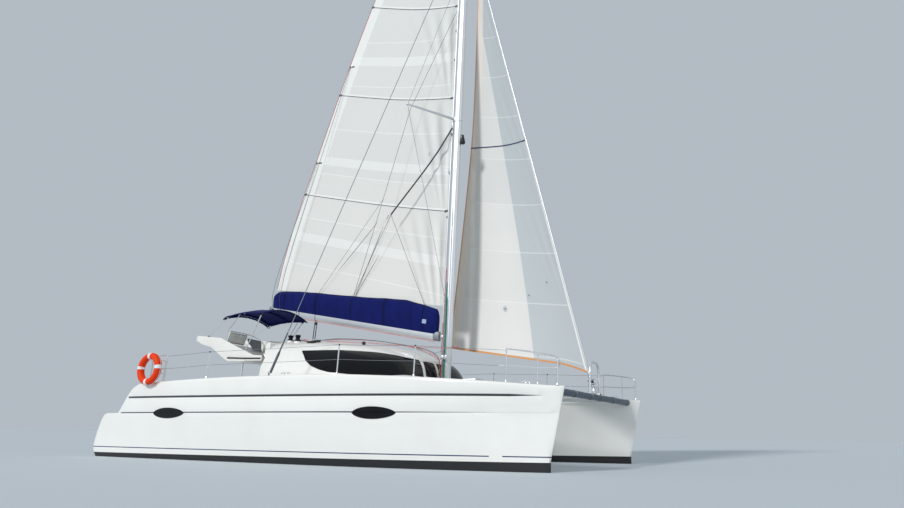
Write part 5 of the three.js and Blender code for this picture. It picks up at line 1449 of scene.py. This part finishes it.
WHEEL_AT, WHEEL_R = Vector((-1.56, HELM_Y, 2.23)), 0.35
spokes = [pipe("shaft", [WHEEL_AT, (-1.388, HELM_Y, 2.23)], 0.020, sides=24)]
HUB = [(0.004, -0.03), (0.05, -0.03), (0.055, -0.022), (0.055, 0.012), (0.04, 0.024), (0.004, 0.028)]
spokes.append(turned("hub", HUB, WHEEL_AT, (-1, 0, 0)))
for i in range(5):
    a = pi / 2 + i * 2 * pi / 5
    out = Vector((0, cos(a), sin(a)))
    route = [WHEEL_AT + out * 0.03 + Vector((0.008, 0, 0)), WHEEL_AT + out * (WHEEL_R - 0.006)]
    spokes.append(pipe("spoke", route, 0.009, sides=12))
spokes.append(ring("rim", WHEEL_AT, WHEEL_R, 0.0135, (0, pi / 2, 0)))
place(joined("wheel_and_spokes", spokes), "stainless", steel, "steering_wheel", body="wheel")


def leather(name, colour, dark):
    """Grained vinyl or hide: rounded cells about 4 mm across with fine creases between them."""
    made, tree, spot = patterned(name, colour, 0.5, Sheen_Weight=0.1)
    grain = {"Vector": spot, "Scale": 260.0, "Randomness": 1.0}
    cells = node(tree, "TexVoronoi", grain, feature="DISTANCE_TO_EDGE")
    rub = node(tree, "TexNoise", {"Vector": spot, "Scale": 4.0, "Detail": 4.0})
    return toned(made, rub, colour, dark, cells, 0.35, 0.0012)


black_hide = leather("black leather", "191a1c", "2a2b2d")
white_vinyl = leather("white marine vinyl", "e6e5df", "cfcfc9")
wraps = []
for i in range(5):
    span = np.linspace(pi / 2 + i * 2 * pi / 5 + 0.07, pi / 2 + (i + 1) * 2 * pi / 5 - 0.07, 24)
    rim = [WHEEL_AT + Vector((0, cos(a), sin(a))) * WHEEL_R for a in span]
    wraps.append(pipe("wrap", rim, 0.0165, sides=16))
place(joined("wheel_rim_leather", wraps), "upholstery", black_hide, body="wheel")


# Helm seat: a foam seat cushion and a backrest in white vinyl with black piping, on the moulded locker. Each
# is blown up by a short cloth simulation, then held close to its foam.
def cushion(name, outline, axis, low, high, swell, flat_below=None):
    core = prism(name, rounded(outline, 0.03, 3), axis, low, high)
    soften(core, 0.016, 3, 50)
    apply(core, "REMESH", mode="VOXEL", voxel_size=0.012, adaptivity=0.0)
    count = len(core.data.vertices)
    rest = np.empty(count * 3)
    core.data.vertices.foreach_get("co", rest)
    puff = core.modifiers.new("cloth", "CLOTH")
    puff.settings.use_pressure = True
    puff.settings.uniform_pressure_force = 4
    puff.settings.effector_weights.gravity = 0
    puff.point_cache.frame_end = 20
    for step in range(1, 21):
        bpy.context.scene.frame_set(step)
    after = np.empty(count * 3)
    core.evaluated_get(bpy.context.evaluated_depsgraph_get()).data.vertices.foreach_get("co", after)
    core.modifiers.remove(puff)
    bpy.context.scene.frame_set(1)
    move = (after - rest).reshape(-1, 3)
    length = np.linalg.norm(move, axis=1, keepdims=True)
    rest = rest.reshape(-1, 3) + move * np.minimum(1, swell / np.maximum(length, 1e-9))
    if flat_below is not None:
        rest[:, 2] = np.maximum(rest[:, 2], flat_below)
    core.data.vertices.foreach_set("co", rest.reshape(-1))
    apply(core, "SMOOTH", factor=0.5, iterations=4)
    apply(core, "SUBSURF", levels=1)
    return core


def welt(piece, route, radius=0.005):
    """Piping sewn into a seam: the route given, drawn onto the nearest cloth."""
    spots = [piece.closest_point_on_mesh(Vector(p))[1] for p in route]
    return pipe("welt", spots, radius, closed=True)


SEAT_PLAN = [(-2.585, -2.275), (-2.015, -2.275), (-2.015, -1.335), (-2.585, -1.335)]
seat_pad = cushion("helm_seat_pad", SEAT_PLAN, "z", 2.342, 2.437, 0.012, 2.3305)
BACK = [(-2.790, 2.630), (-2.735, 2.630), (-2.639, 2.890), (-2.694, 2.890)]
back_pad = cushion("helm_back_pad", BACK, "y", -2.290, -1.760, 0.010)
welts = [welt(seat_pad, [(x, y, 2.432) for x, y in rounded(inset(SEAT_PLAN, -0.004), 0.05, 8)])]
seam = [seat_pad.closest_point_on_mesh(Vector((-2.30, y, 2.50)))[1] for y in np.linspace(-2.25, -1.36, 24)]
welts.append(pipe("welt", seam, 0.004))
(y0, y1), (z0, z1) = (-2.285, -1.765), (2.637, 2.885)
face = rounded([(y0, z0), (y1, z0), (y1, z1), (y0, z1)], 0.05, 8)
welts += [welt(back_pad, [(x + 0.357 * (z - 2.63), y, z) for y, z in face]) for x in (-2.715, -2.81)]
place(seat_pad, "upholstery", white_vinyl, "helm_seat_cushion", angle=60)
place(back_pad, "upholstery", white_vinyl, "helm_seat_back", angle=60)
place(joined("helm_seat_piping", welts), "upholstery", black_hide)
brackets = [pipe("stay", [(-2.775, y, 2.596), (-2.76, y, 2.645)], 0.0135, sides=14) for y in (-2.25, -1.80)]
rail = [
    (-2.665, -2.27, 2.906), (-2.665, -1.78, 2.902), (-2.675, -1.5, 2.86), (-2.69, -1.31, 2.79),
    (-2.70, -1.295, 2.60),
]
brackets.append(pipe("rail", rail, 0.011, smooth=5, sides=12))
FOOT = [(0.012, 0), (0.034, 0), (0.034, 0.004), (0.018, 0.010), (0.014, 0.014)]
for x, y in ((-2.775, -2.25), (-2.775, -1.80), (-2.70, -1.295)):
    brackets.append(turned("foot", FOOT, (x, y, 2.5995), steps=20))
place(joined("helm_seat_brackets", brackets), "stainless", steel)
# A grey mesh panel stands by the backrest where the far part of the seat back lies in shade: its grey is
# painted shade.
SCREEN = [(-1.80, 2.80), (-1.36, 2.79), (-1.32, 2.50), (-1.46, 2.46), (-1.76, 2.70)]
painted_shade_mesh = canvas("grey mesh in painted shade", "8b8f93", "777b80", 1400.0)
screen_piece = prism("helm_mesh_screen_in_painted_shade", rounded(SCREEN, 0.02), "x", -2.614, -2.610)
place(screen_piece, "netting", painted_shade_mesh)


# Bimini: stainless tube bows on four legs with a navy acrylic canopy stretched over them and a short
# valance at its aft edge.
AFT_BOW, MIDDLE_BOW, FRONT_BOW = -2.64, -2.05, -1.44
# x and height of the canopy's edge, then the x and height of a leg's foot where a pair of legs stands
BIMINI = [
    (AFT_BOW, 3.200, -3.33, 2.80), (-2.30, 3.250, 0, 0), (-1.90, 3.265, 0, 0), (FRONT_BOW, 3.235, -2.08, 2.33)
]
BIMINI_HALF, CANOPY_HALF, CROWN = 0.70, 0.708, 0.16
TUBE, RAIL_SHARE = 0.0125, 0.94
crown_at = lambda t: CROWN * (1 - t * t)
held_x = lambda x: max(BIMINI[0][0] + 0.024, min(BIMINI[-1][0] - 0.024, x))
edge_at = lambda x: float(np.interp(x, [r[0] for r in BIMINI], [r[1] for r in BIMINI]))
under = lambda x, t: Vector((held_x(x), HELM_Y + t * BIMINI_HALF, edge_at(x) + crown_at(t) - 0.0095))
rail_ends, bow_span = (-RAIL_SHARE, RAIL_SHARE), np.linspace(-1, 1, 25)
tubes = []
for t in rail_ends:
    edge = [under(x, t) for x in np.linspace(AFT_BOW, FRONT_BOW, 13)]
    tubes.append(pipe("side_tube", edge, TUBE, sides=14))
for x in (AFT_BOW, MIDDLE_BOW, FRONT_BOW):
    tubes.append(pipe("bow", [under(x, t * 0.965) for t in bow_span], TUBE, sides=14))
knuckles = []
for x, _, foot_x, foot_z in BIMINI:
    if not foot_x:
        continue
    for t in rail_ends:
        top = under(x + (0.12 if x == AFT_BOW else -0.06), t)
        base = Vector((foot_x, HELM_Y + t * BIMINI_HALF * 0.79, foot_z))
        tubes.append(pipe("leg", [base, top], TUBE, sides=14))
        half = (top - base).normalized() * 0.028
        for spot in (base.lerp(top, 0.02), base.lerp(top, 0.97)):
            knuckles.append(pipe("knuckle", [spot - half, spot + half], 0.017, sides=16))
brace = [under(-2.2, -RAIL_SHARE) - Vector((0, 0, 0.005)), Vector((-2.75, -2.285, 2.90))]
tubes.append(pipe("brace", brace, 0.009))
place(joined("bimini_tubes", tubes), "stainless", steel, "bimini_frame")
place(joined("bimini_joints", knuckles), "antifouling", rubber)
sleeves = []
for x in (AFT_BOW, MIDDLE_BOW, FRONT_BOW):
    sleeves.append(pipe("sleeve", [under(x, t * 0.935) for t in bow_span], 0.0145, sides=14))
for t in rail_ends:
    span = np.linspace(AFT_BOW + 0.03, FRONT_BOW - 0.03, 13)
    sleeves.append(pipe("sleeve", [under(x, t) for x in span], 0.0142, sides=14))
place(joined("bimini_bow_sleeves", sleeves), "navy_canvas", navy)
HEM_X = -2.675
cover_x = [HEM_X, -2.655, *np.linspace(AFT_BOW, FRONT_BOW, 25), -1.42, -1.405]
cover_rows = []
for x in cover_x:
    drop = 0.03 * max(0, (AFT_BOW - x) / 0.035) + 0.018 * max(0, (x - FRONT_BOW) / 0.035)
    line = []
    for t in np.linspace(-1, 1, 33):
        hang = 0.006 * sin((x - AFT_BOW) / 0.6 * pi) ** 2 * (1 - t * t)
        hang += 0.014 * max(0, (abs(t) - RAIL_SHARE) / 0.06)
        line.append((x, HELM_Y + t * CANOPY_HALF, edge_at(x) + crown_at(t) + 0.0095 - drop - hang))
    cover_rows.append(line)
canopy = skin("bimini_canopy", cover_rows, wrap=False)
valance = []
for d in (0.0, 0.012, 0.024, 0.036):
    line = []
    for t in np.linspace(-1, 1, 49):
        low = 0.0235 + d + 0.004 * abs(sin(9 * t)) * (d > 0.03)
        x = HEM_X - 0.12 * d + 0.004 * sin(40 * t)
        line.append((x, HELM_Y + t * CANOPY_HALF, edge_at(AFT_BOW) + crown_at(t) - low))
    valance.append(line)
canopy = joined("bimini_canopy", [canopy, skin("valance", valance, wrap=False)])
apply(canopy, "SOLIDIFY", thickness=0.0018, offset=0.0)
place(canopy, "navy_canvas", navy, "bimini_canvas", angle=60)
hems = [
    pipe("hem", [Vector(p) + Vector((0, 0, 0.001)) for p in row], 0.004, sides=6)
    for row in (cover_rows[2], cover_rows[-1], valance[-1])
]
for k in (0, -1):
    hems.append(pipe("hem", [row[k] for row in cover_rows], 0.004, sides=6))
seam = []
for t in np.linspace(-1, 1, 33):
    seam.append((MIDDLE_BOW, HELM_Y + t * BIMINI_HALF, edge_at(MIDDLE_BOW) + crown_at(t) + 0.0108))
hems.append(pipe("seam", seam, 0.0025, sides=6))
place(joined("bimini_hems", hems), "navy_canvas", navy_piping)

# Halyard winches on the deckhouse roof beside the helm, with a bank of rope clutches and the lines that
# lead to them from the mast.
def roof_at(x, y):
    hit, spot, _, _ = house.ray_cast(Vector((x, y, 5)), Vector((0, 0, -1)))
    return spot.z if hit else 2.6


black_drum = anodised("black anodised drum", "24272b", 0.34)
PLINTH = [(0.004, -0.03), (0.082, -0.03), (0.080, 0.012), (0.076, 0.018), (0.004, 0.018)]
CAP = [(0.018, 0.0), (0.060, 0.0), (0.062, 0.006), (0.050, 0.012), (0.018, 0.012)]
WINCH_Y, WINCH_TOP, WINCH_TALL = -1.85, 2.782, WINCH[-3][1]
for i, x in enumerate((-1.15, -0.93), 1):
    base = roof_at(x, WINCH_Y) - 0.006
    place(turned(f"winch_plinth_{i}", PLINTH, (x, WINCH_Y, base)), "gelcoat", white_deck)
    seat = base + PLINTH[-1][1]
    drum = [(r, h * (WINCH_TOP - base - PLINTH[-1][1]) / WINCH_TALL) for r, h in WINCH]
    drum = turned(f"winch_drum_{i}", drum, (x, WINCH_Y, seat), steps=40)
    place(drum, "stainless", black_drum, f"winch_{i}")
    place(turned(f"winch_cap_{i}", CAP, (x, WINCH_Y, WINCH_TOP - 0.006)), "antifouling", rubber)
bank, levers = [], []
CLUTCH_X, CLUTCH_Y, CLUTCH_STEP = -0.55, -1.62, 0.055
for i in range(5):
    y = CLUTCH_Y - CLUTCH_STEP * i
    z = roof_at(CLUTCH_X, y)
    bank.append(block("clutch", (-0.64, y - 0.022, z - 0.015), (-0.46, y + 0.022, z + 0.045), 0.008, 2))
    levers.append(block("handle", (-0.63, y - 0.014, z + 0.043), (-0.53, y + 0.014, z + 0.062), 0.006, 2))
place(joined("rope_clutches", bank), "antifouling", rubber)
place(joined("clutch_handles", levers), "netting", finish("clutch handle", "c9cbcc", 0.4))
LEADS = (("red", red_rope), ("white", white_rope), ("red_2", red_rope), ("grey", grey_rope))
for i, (name, material) in enumerate(LEADS):
    y = CLUTCH_Y - CLUTCH_STEP * i
    z = roof_at(CLUTCH_X, y) + 0.028
    route = [(1.84, -0.105 - 0.004 * i, 1.78), (1.815, -0.112 - 0.01 * i, 2.30 + 0.03 * i)]
    for a, b, c in ((0.9, -0.62 - 0.05 * i, 2.665), (-0.1, -1.30 - 0.05 * i, 2.715)):
        route.append((a, b, max(c, roof_at(a, b) + 0.014)))
    route += [(-0.46, y, z), (-0.64, y, z), (-0.86 - 0.2 * (i % 2), -1.80 - 0.004 * i, 2.70)]
    place(pipe(f"deck_line_{name}", route, 0.0065, smooth=6), "netting", material)


# Forward beam: an anodised tube between the bows in cast end sockets, with the stainless anchor frame over
# its middle, and a rubber bow roller between two white cheeks.
BEAM_X, BEAM_Z, BEAM_R = 5.67, 1.405, 0.065
beam = pipe("crossbeam_tube", [(BEAM_X, -2.372, BEAM_Z), (BEAM_X, 2.372, BEAM_Z)], BEAM_R, sides=40)
beam_blue = anodised("beam aluminium", "5b6874", 0.42)
place(beam, "aluminium", beam_blue, "forward_crossbeam", angle=40)
SOCKET = [
    (0.064, -0.10), (0.064, 0.0), (0.072, 0.0), (0.073, 0.006), (0.073, 0.07), (0.071, 0.08), (0.0665, 0.086),
]
COLLAR = [(0.0648, -0.02), (0.074, -0.02), (0.074, 0.02), (0.0648, 0.02)]
sockets = []
for sign in (-1, 1):
    sockets.append(turned("socket", SOCKET, (BEAM_X, sign * 2.36, BEAM_Z), (0, -sign, 0), 40))
for y in (-0.29, 0.29, -1.2, 1.2):
    sockets.append(turned("collar", COLLAR, (BEAM_X, y, BEAM_Z), (0, 1, 0), 40))
place(joined("crossbeam_sockets", sockets), "aluminium", cast_grey, angle=30)
top = BEAM_Z + BEAM_R
HOOP = [(0.290, top - 0.01), (0.284, 1.70), (0.275, 1.95), (0.22, 2.07), (0.140, 2.125)]
hoop = [(-y, z) for y, z in HOOP] + [(0.0, 2.13)] + HOOP[::-1]
frame_parts = [pipe("frame", [(BEAM_X, y, z) for y, z in hoop], 0.027, smooth=5, sides=20)]
frame_parts.append(pipe("cross_bar", [(BEAM_X, -0.280, 1.62), (BEAM_X, 0.280, 1.62)], 0.0135, sides=16))
BEAM_FOOT = [(0.010, 0), (0.042, 0), (0.042, 0.006), (0.027, 0.012), (0.0215, 0.03)]
for y in (-0.29, 0.29):
    frame_parts.append(turned("foot", BEAM_FOOT, (BEAM_X, y, top - 0.004), steps=24))
WEB = [(0.010, top + 0.016), (0.034, top + 0.016), (0.028, 1.62), (0.014, 1.62)]
frame_parts.append(prism("web", [(BEAM_X + x, z) for x, z in WEB], "y", -0.048, 0.048))
place(joined("anchor_frame", frame_parts), "stainless", steel, "anchor_striker")
PLATE = [(0.028, top - 0.024), (0.135, top - 0.024), (0.138, top + 0.014), (0.028, top + 0.016)]
plate = rounded([(BEAM_X + x, z) for x, z in PLATE], 0.010)
cheeks = [prism("cheek", plate, "y", y - 0.004, y + 0.004) for y in (-0.05, 0.05)]
corners = (BEAM_X + 0.025, -0.054, top - 0.024), (BEAM_X + 0.10, 0.054, top - 0.016)
cheeks.append(block("channel", *corners, 0.003, 1))
place(joined("roller_cheeks", cheeks), "gelcoat", white_deck)
ROLLER = [(0.008, -0.044), (0.016, -0.044), (0.015, -0.03)]
ROLLER += [(0.009, 0), *[(r, -h) for r, h in ROLLER[::-1]]]
roller = turned("bow_roller", ROLLER, (BEAM_X + 0.118, 0, top - 0.002), (0, 1, 0), 28)
place(roller, "antifouling", rubber)


# Trampolines: knotted polyester netting laced with cord to a bolt rope, and through it to the beam, the
# centre strut and the hulls.
NET = [(3.3003, 0.061), (5.62, 0.061), (5.62, 2.235), (5.20, 2.085), (4.40, 1.825), (3.3003, 1.60)]
NET_STEP, NET_Z = 0.045, 1.417
net_cord, lace = rope("d9dad8", "9aa0a4", "net cord"), rope("f0f0ec", "6a7076", "lashing cord")


def crossings(outline, at, axis):
    """Where a line across one axis enters and leaves an outline."""
    found = []
    for p, q in zip(outline, outline[1:] + outline[:1]):
        if (p[axis] - at) * (q[axis] - at) < 0:
            share = (at - p[axis]) / (q[axis] - p[axis])
            found.append(p[1 - axis] + share * (q[1 - axis] - p[1 - axis]))
    return sorted(found)[:: max(1, len(found) - 1)][:2]


net_inner = inset(NET, 0.055)


def sag(x, y):
    """The height of the net, which hangs a little lower towards its middle."""
    fore, across = sin(pi * min(1, max(0, (x - 3.3) / 2.32))), sin(pi * min(1, y / 2.2))
    return NET_Z - 0.012 * max(0, fore) * max(0, across)


cords = []
for axis, low, high in ((0, 3.36, 5.56), (1, 0.12, 2.16)):
    for i, at in enumerate(np.arange(low, high, NET_STEP)):
        ends = crossings(net_inner, at, axis)
        if len(ends) < 2 or ends[1] - ends[0] < 0.05:
            continue
        span = np.linspace(ends[0], ends[1], 12)
        line = [(at, s) if axis == 0 else (s, at) for s in span]
        lift = 0.0012 if axis else -0.0012
        cords.append(pipe("cord", [(x, y, sag(x, y) + lift) for x, y in line], 0.0034, sides=4, ends=False))
net = joined("net_mesh_port", cords)
edge = [(x, y, NET_Z) for x, y in rounded(net_inner, 0.03)]
border = [pipe("bolt_rope", edge, 0.0065, closed=True)]
tie = [pipe("edge_cord", [(x, y, NET_Z) for x, y in rounded(inset(NET, 0.014), 0.02)], 0.005, closed=True)]
outer, inner = inset(NET, 0.012), net_inner
for p, q, r, s in zip(outer, outer[1:] + outer[:1], inner, inner[1:] + inner[:1]):
    count = max(4, int((Vector(q) - Vector(p)).length / 0.07))
    zigzag = []
    for i in range(count + 1):
        a, b = (p, q) if i % 2 else (r, s)
        spot = Vector(a).lerp(Vector(b), 0.01 + 0.98 * i / count)
        zigzag.append((*spot, NET_Z + (0.0015 if i % 2 else -0.0005)))
    tie.append(pipe("lashing", zigzag, 0.0026, sides=6))
both_sides(joined("net_lashing_port", [*border, *tie]), "netting", lace)
nets = both_sides(net, "netting", net_cord, "net")


# Rails: polished stainless tube, bent cold, on turned bases; the guard wires between the pulpit and the
# pushpit run through the stanchions and end in small rigging screws.
BASE = [(0.010, 0), (0.038, 0), (0.038, 0.005), (0.022, 0.011), (0.0165, 0.05), (0.0135, 0.054)]
rail_y = lambda x: float(read(STATIONS, x)[5]) - 0.09
deck_z = lambda x: float(read(STATIONS, x)[6])


def along(places, radius=0.013, smooth=5):
    """A rail given by places: x, height over the deck, and how far it turns inboard."""
    points = [(x, rail_y(x) - (rest[0] if rest else 0), deck_z(x) + height) for x, height, *rest in places]
    return pipe("rail", points, radius, smooth=smooth, sides=14)


def stanchion(x, height, y=None):
    y = rail_y(x) if y is None else y
    foot = turned("base", BASE, (x, y, deck_z(x) - 0.004), steps=24)
    return [foot, pipe("post", [(x, y, deck_z(x) + 0.01), (x, y, deck_z(x) + height)], 0.013, sides=16)]


pulpit = [*stanchion(4.96, 0.60), *stanchion(5.50, 0.56)]
pulpit += [
    turned("base", BASE, (5.85, 2.47, 1.468), steps=24),
    pipe("post", [(5.85, 2.47, 1.48), (5.85, 2.46, 1.93)], 0.013, sides=16),
]
pulpit.append(along([(4.96, 0.60), (5.50, 0.56), (5.78, 0.51), (5.87, 0.44, 0.03), (5.85, 0.33, 0.09)]))
middle = [(x, rail_y(x), deck_z(x) + h) for x, h in ((4.96, 0.30), (5.50, 0.29))]
pulpit.append(pipe("mid_rail", [*middle, (5.85, 2.463, 1.77)], 0.011, sides=14))
pushpit = [*stanchion(-3.58, 0.60), *stanchion(-4.08, 0.60), *stanchion(-4.19, 0.56, rail_y(-4.19) - 0.42)]
for h in (0.60, 0.30):
    bend = [(-4.15, h - 0.03, 0.06), (-4.19, h - 0.05, 0.20), (-4.19, h - 0.05, 0.42)]
    pushpit.append(along([(-3.58, h), (-3.80, h), (-4.02, h), *bend]))
GUARD_POSTS = (-2.10, 1.54, 3.24)
POST_CAP = [(0.004, 0.012), (0.012, 0.010), (0.0148, 0.002), (0.0148, -0.02), (0.0132, -0.02)]
caps, guards, wires = [], [], []
for x in GUARD_POSTS:
    guards += stanchion(x, 0.58)
    caps.append(turned("cap", POST_CAP, (x, rail_y(x), deck_z(x) + 0.578), steps=20))
WIRE_AFT, WIRE_FORE = -3.56, 4.945
for h in (0.290, 0.575):
    for a, b in zip((WIRE_AFT, *GUARD_POSTS), (*GUARD_POSTS, WIRE_FORE)):
        ends = [Vector((x, rail_y(x), deck_z(x) + h)) for x in (a, b)]
        dips = [(t, Vector((0, 0, 0.006 * sin(pi * t)))) for t in np.linspace(0, 1, 9)]
        wires.append(pipe("guard_wire", [ends[0].lerp(ends[1], t) - dip for t, dip in dips], 0.004))
    for a, b in ((WIRE_AFT, -3.0), (WIRE_FORE, 4.4)):
        p, q = (Vector((x, rail_y(x), deck_z(x) + h)) for x in (a, b))
        way = (q - p).normalized()
        guards += [
            pipe("screw", [p + way * 0.02, p + way * 0.13], 0.0075, sides=12),
            pipe("fork", [p, p + way * 0.03], 0.010, sides=12),
        ]
BUOY = Vector((-3.88, -3.31, 1.957))
for name, parts, slot, material, stands in (
    ("pulpit_rail", pulpit, "stainless", steel, "pulpit"),
    ("pushpit_rail", pushpit, "stainless", steel, "pushpit"),
    ("guard_stanchions", guards, "stainless", steel, "guardrail"),
    ("guard_wires", wires, "stainless", wire, None), ("stanchion_caps", caps, "antifouling", rubber, None),
):
    made = joined(f"{name}_port", parts)
    other = copied(made, f"{name}_starboard")
    if stands == "pushpit":
        arms = [
            pipe("arm", [(x, -rail_y(x), z), (x, BUOY.y + 0.088, z)], 0.010, sides=12)
            for x, z in ((-3.59, BUOY.z), (-4.08, BUOY.z + 0.21))
        ]
        other = joined(other.name, [other, *arms])
    place(made, slot, material, *([f"{stands}_port"] if stands else []), angle=45)
    place(other, slot, material, *([f"{stands}_starboard"] if stands else []), angle=45)


# Lifebuoy: a blow-moulded orange ring with four white reflective bands glued round it and a grab line held
# under them, hung on two arms of the starboard pushpit.
BUOY_R = 0.29


def ring_arc(name, start, end, minor):
    points = [BUOY + Vector((cos(a), 0, sin(a))) * BUOY_R for a in np.linspace(start, end, 10)]
    return pipe(name, points, minor, sides=32)


def moulded_orange():
    """Blow-moulded polyethylene in signal orange: waxy, matt, finely grained, a little faded in patches."""
    made, tree, spot = patterned("moulded orange polyethylene", "e63505", 0.55, Specular_IOR_Level=0.18)
    grain = node(tree, "TexNoise", {"Vector": spot, "Scale": 420.0, "Detail": 2.0})
    fade = node(tree, "TexNoise", {"Vector": spot, "Scale": 5.0, "Detail": 4.0})
    return toned(made, fade, "e63505", "ea4412", grain, 0.2, 0.001)


buoy = ring("lifebuoy_ring", BUOY, BUOY_R, 0.0785, (pi / 2, 0, 0))
apply(buoy, "SUBSURF", levels=1)
place(buoy, "orange_foam", moulded_orange(), "lifebuoy", angle=60)
white_band = finish("reflective band", "eceeee", 0.35, Coat_Weight=0.3)
bands = [ring_arc("band", a - 0.12, a + 0.12, 0.0795) for a in (0.12, 0.5 * pi, pi - 0.1, 1.5 * pi)]
place(joined("lifebuoy_bands", bands), "sailcloth", white_band, angle=40)
grab = []
for k in range(4):
    a = np.linspace(k * pi / 2, (k + 1) * pi / 2, 15)
    bulge = [(t, 0.3735 + 0.012 * sin((t - a[0]) * 2) ** 2) for t in a]
    grab.append(pipe("grab_line", [BUOY + Vector((cos(t), 0, sin(t))) * r for t, r in bulge], 0.0045))
place(joined("lifebuoy_grab_line", grab), "netting", white_rope)


# Deck fittings: cleats, low hatches in the side decks, moulded non-skid that follows the sheer, and the
# genoa sheets led to blocks on the roof edge.
def deck_hit(x, y):
    hit, spot, _, _ = hull.ray_cast(Vector((x, y, 2.4)), Vector((0, 0, -1)))
    return spot.z if hit else None


CLEAT_LEG = [(0.006, 0), (0.022, 0), (0.020, 0.005), (0.011, 0.016), (0.010, 0.05), (0.006, 0.052)]


def cleat(name, x, y, z, length=0.24, turn=0.0):
    half = length / 2
    horn = [(half * s, 0, z) for s, z in ((-1, 0.052), (-0.6, 0.056), (0, 0.050), (0.6, 0.056), (1, 0.052))]
    parts = [pipe("horn", horn, 0.0105, smooth=4, sides=12)]
    for dx in (-0.04, 0.04):
        parts.append(turned("leg", CLEAT_LEG, (dx, 0, 0), steps=16))
    made = joined(name, parts)
    made.data.transform(Matrix.Translation((x, y, z)) @ Matrix.Rotation(turn, 4, "Z"))
    return made


cleats = []
for x, y in ((5.28, 2.50), (0.13, 3.16), (-4.30, 3.05)):
    z = deck_hit(x, y)
    if z is not None:
        cleats.append(cleat("cleat", x, y, z - 0.002))
both_sides(joined("deck_cleats_port", cleats), "stainless", steel, angle=45)


def draped(name, spans, side_of, lift=0.0025):
    """Panels that lie on the deck: x from and to, and the two edges across at any x."""
    parts = []
    for a, b in spans:
        rows = []
        for x in np.linspace(a, b, max(4, int((b - a) / 0.12))):
            low, high = side_of(x)
            nip = min(1.0, min(x - a, b - x) / 0.06) ** 0.5 if min(x - a, b - x) < 0.06 else 1.0
            mid, half = (low + high) / 2, (high - low) / 2 * (0.86 + 0.14 * nip)
            rows.append([
                (x, mid + half * t, (deck_hit(x, mid + half * t) or 0) + lift)
                for t in (-1, -0.5, 0, 0.5, 1)
            ])
        if all(p[2] > 1.2 for row in rows for p in row):
            parts.append(skin("panel", rows, wrap=False))
    made = joined(name, parts)
    apply(made, "SOLIDIFY", thickness=0.003, offset=0.0)
    return made


side_deck = lambda x: (
    float(np.interp(x, (-4.1, -1.3, 1.5, 2.6, 5.4), (2.72, 2.62, 2.62, 2.30, 2.42))),
    float(read(STATIONS, x)[5]) - 0.15,
)
walk = draped(
    "side_deck_grip_port",
    ((-3.45, -2.20), (-2.00, 0.0), (0.30, 1.10), (1.30, 3.28), (3.48, 3.72), (4.46, 4.86)), side_deck,
)
both_sides(walk, "gelcoat", grip)
x, y = 4.08, 2.52
z = deck_hit(x, y)
HATCH = [(x - 0.26, y - 0.20), (x + 0.26, y - 0.16), (x + 0.26, y + 0.16), (x - 0.26, y + 0.20)]
HATCH = rounded(HATCH, 0.06)
hatch_frame = prism("deck_hatch_frame_port", HATCH, "z", z - 0.02, z + 0.022)
hatch_pane = prism("deck_hatch_pane_port", inset(HATCH, 0.028), "z", z + 0.005, z + 0.026)
for made, slot, material in ((hatch_frame, "aluminium", silver), (hatch_pane, "tinted_glass", smoked)):
    soften(made, 0.004, 2, 50)
    both_sides(made, slot, material)

for side, sign, material in (("port", 1, white_rope), ("starboard", -1, red_rope)):
    block_at = Vector((0.55, sign * 1.30, roof_at(0.55, sign * 1.30) + 0.035))
    place(sheave_block(f"genoa_block_{side}", block_at, -0.6), "antifouling", rubber)
    route = [
        clew + Vector((0.02, 0, -0.02)), clew.lerp(block_at, 0.35) + Vector((0, sign * 0.10, -0.01)),
        block_at + Vector((0.03, 0, 0.012)),
    ]
    if sign < 0:
        route[1:2] = [Vector((2.26, 0.10, 2.62)), Vector((2.15, -0.17, 2.56)), Vector((1.70, -0.50, 2.56))]
    route.append(block_at + Vector((-0.03, 0, 0.01)))
    route.append(Vector((-0.40, sign * 1.5, roof_at(-0.40, sign * 1.5) + 0.02)))
    place(pipe(f"genoa_sheet_{side}", route, 0.007, smooth=5), "netting", material)


bpy.context.view_layer.update()
size_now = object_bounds()
[[list(map(float, corner)) for corner in box] for box in (cad_box, size_now)]
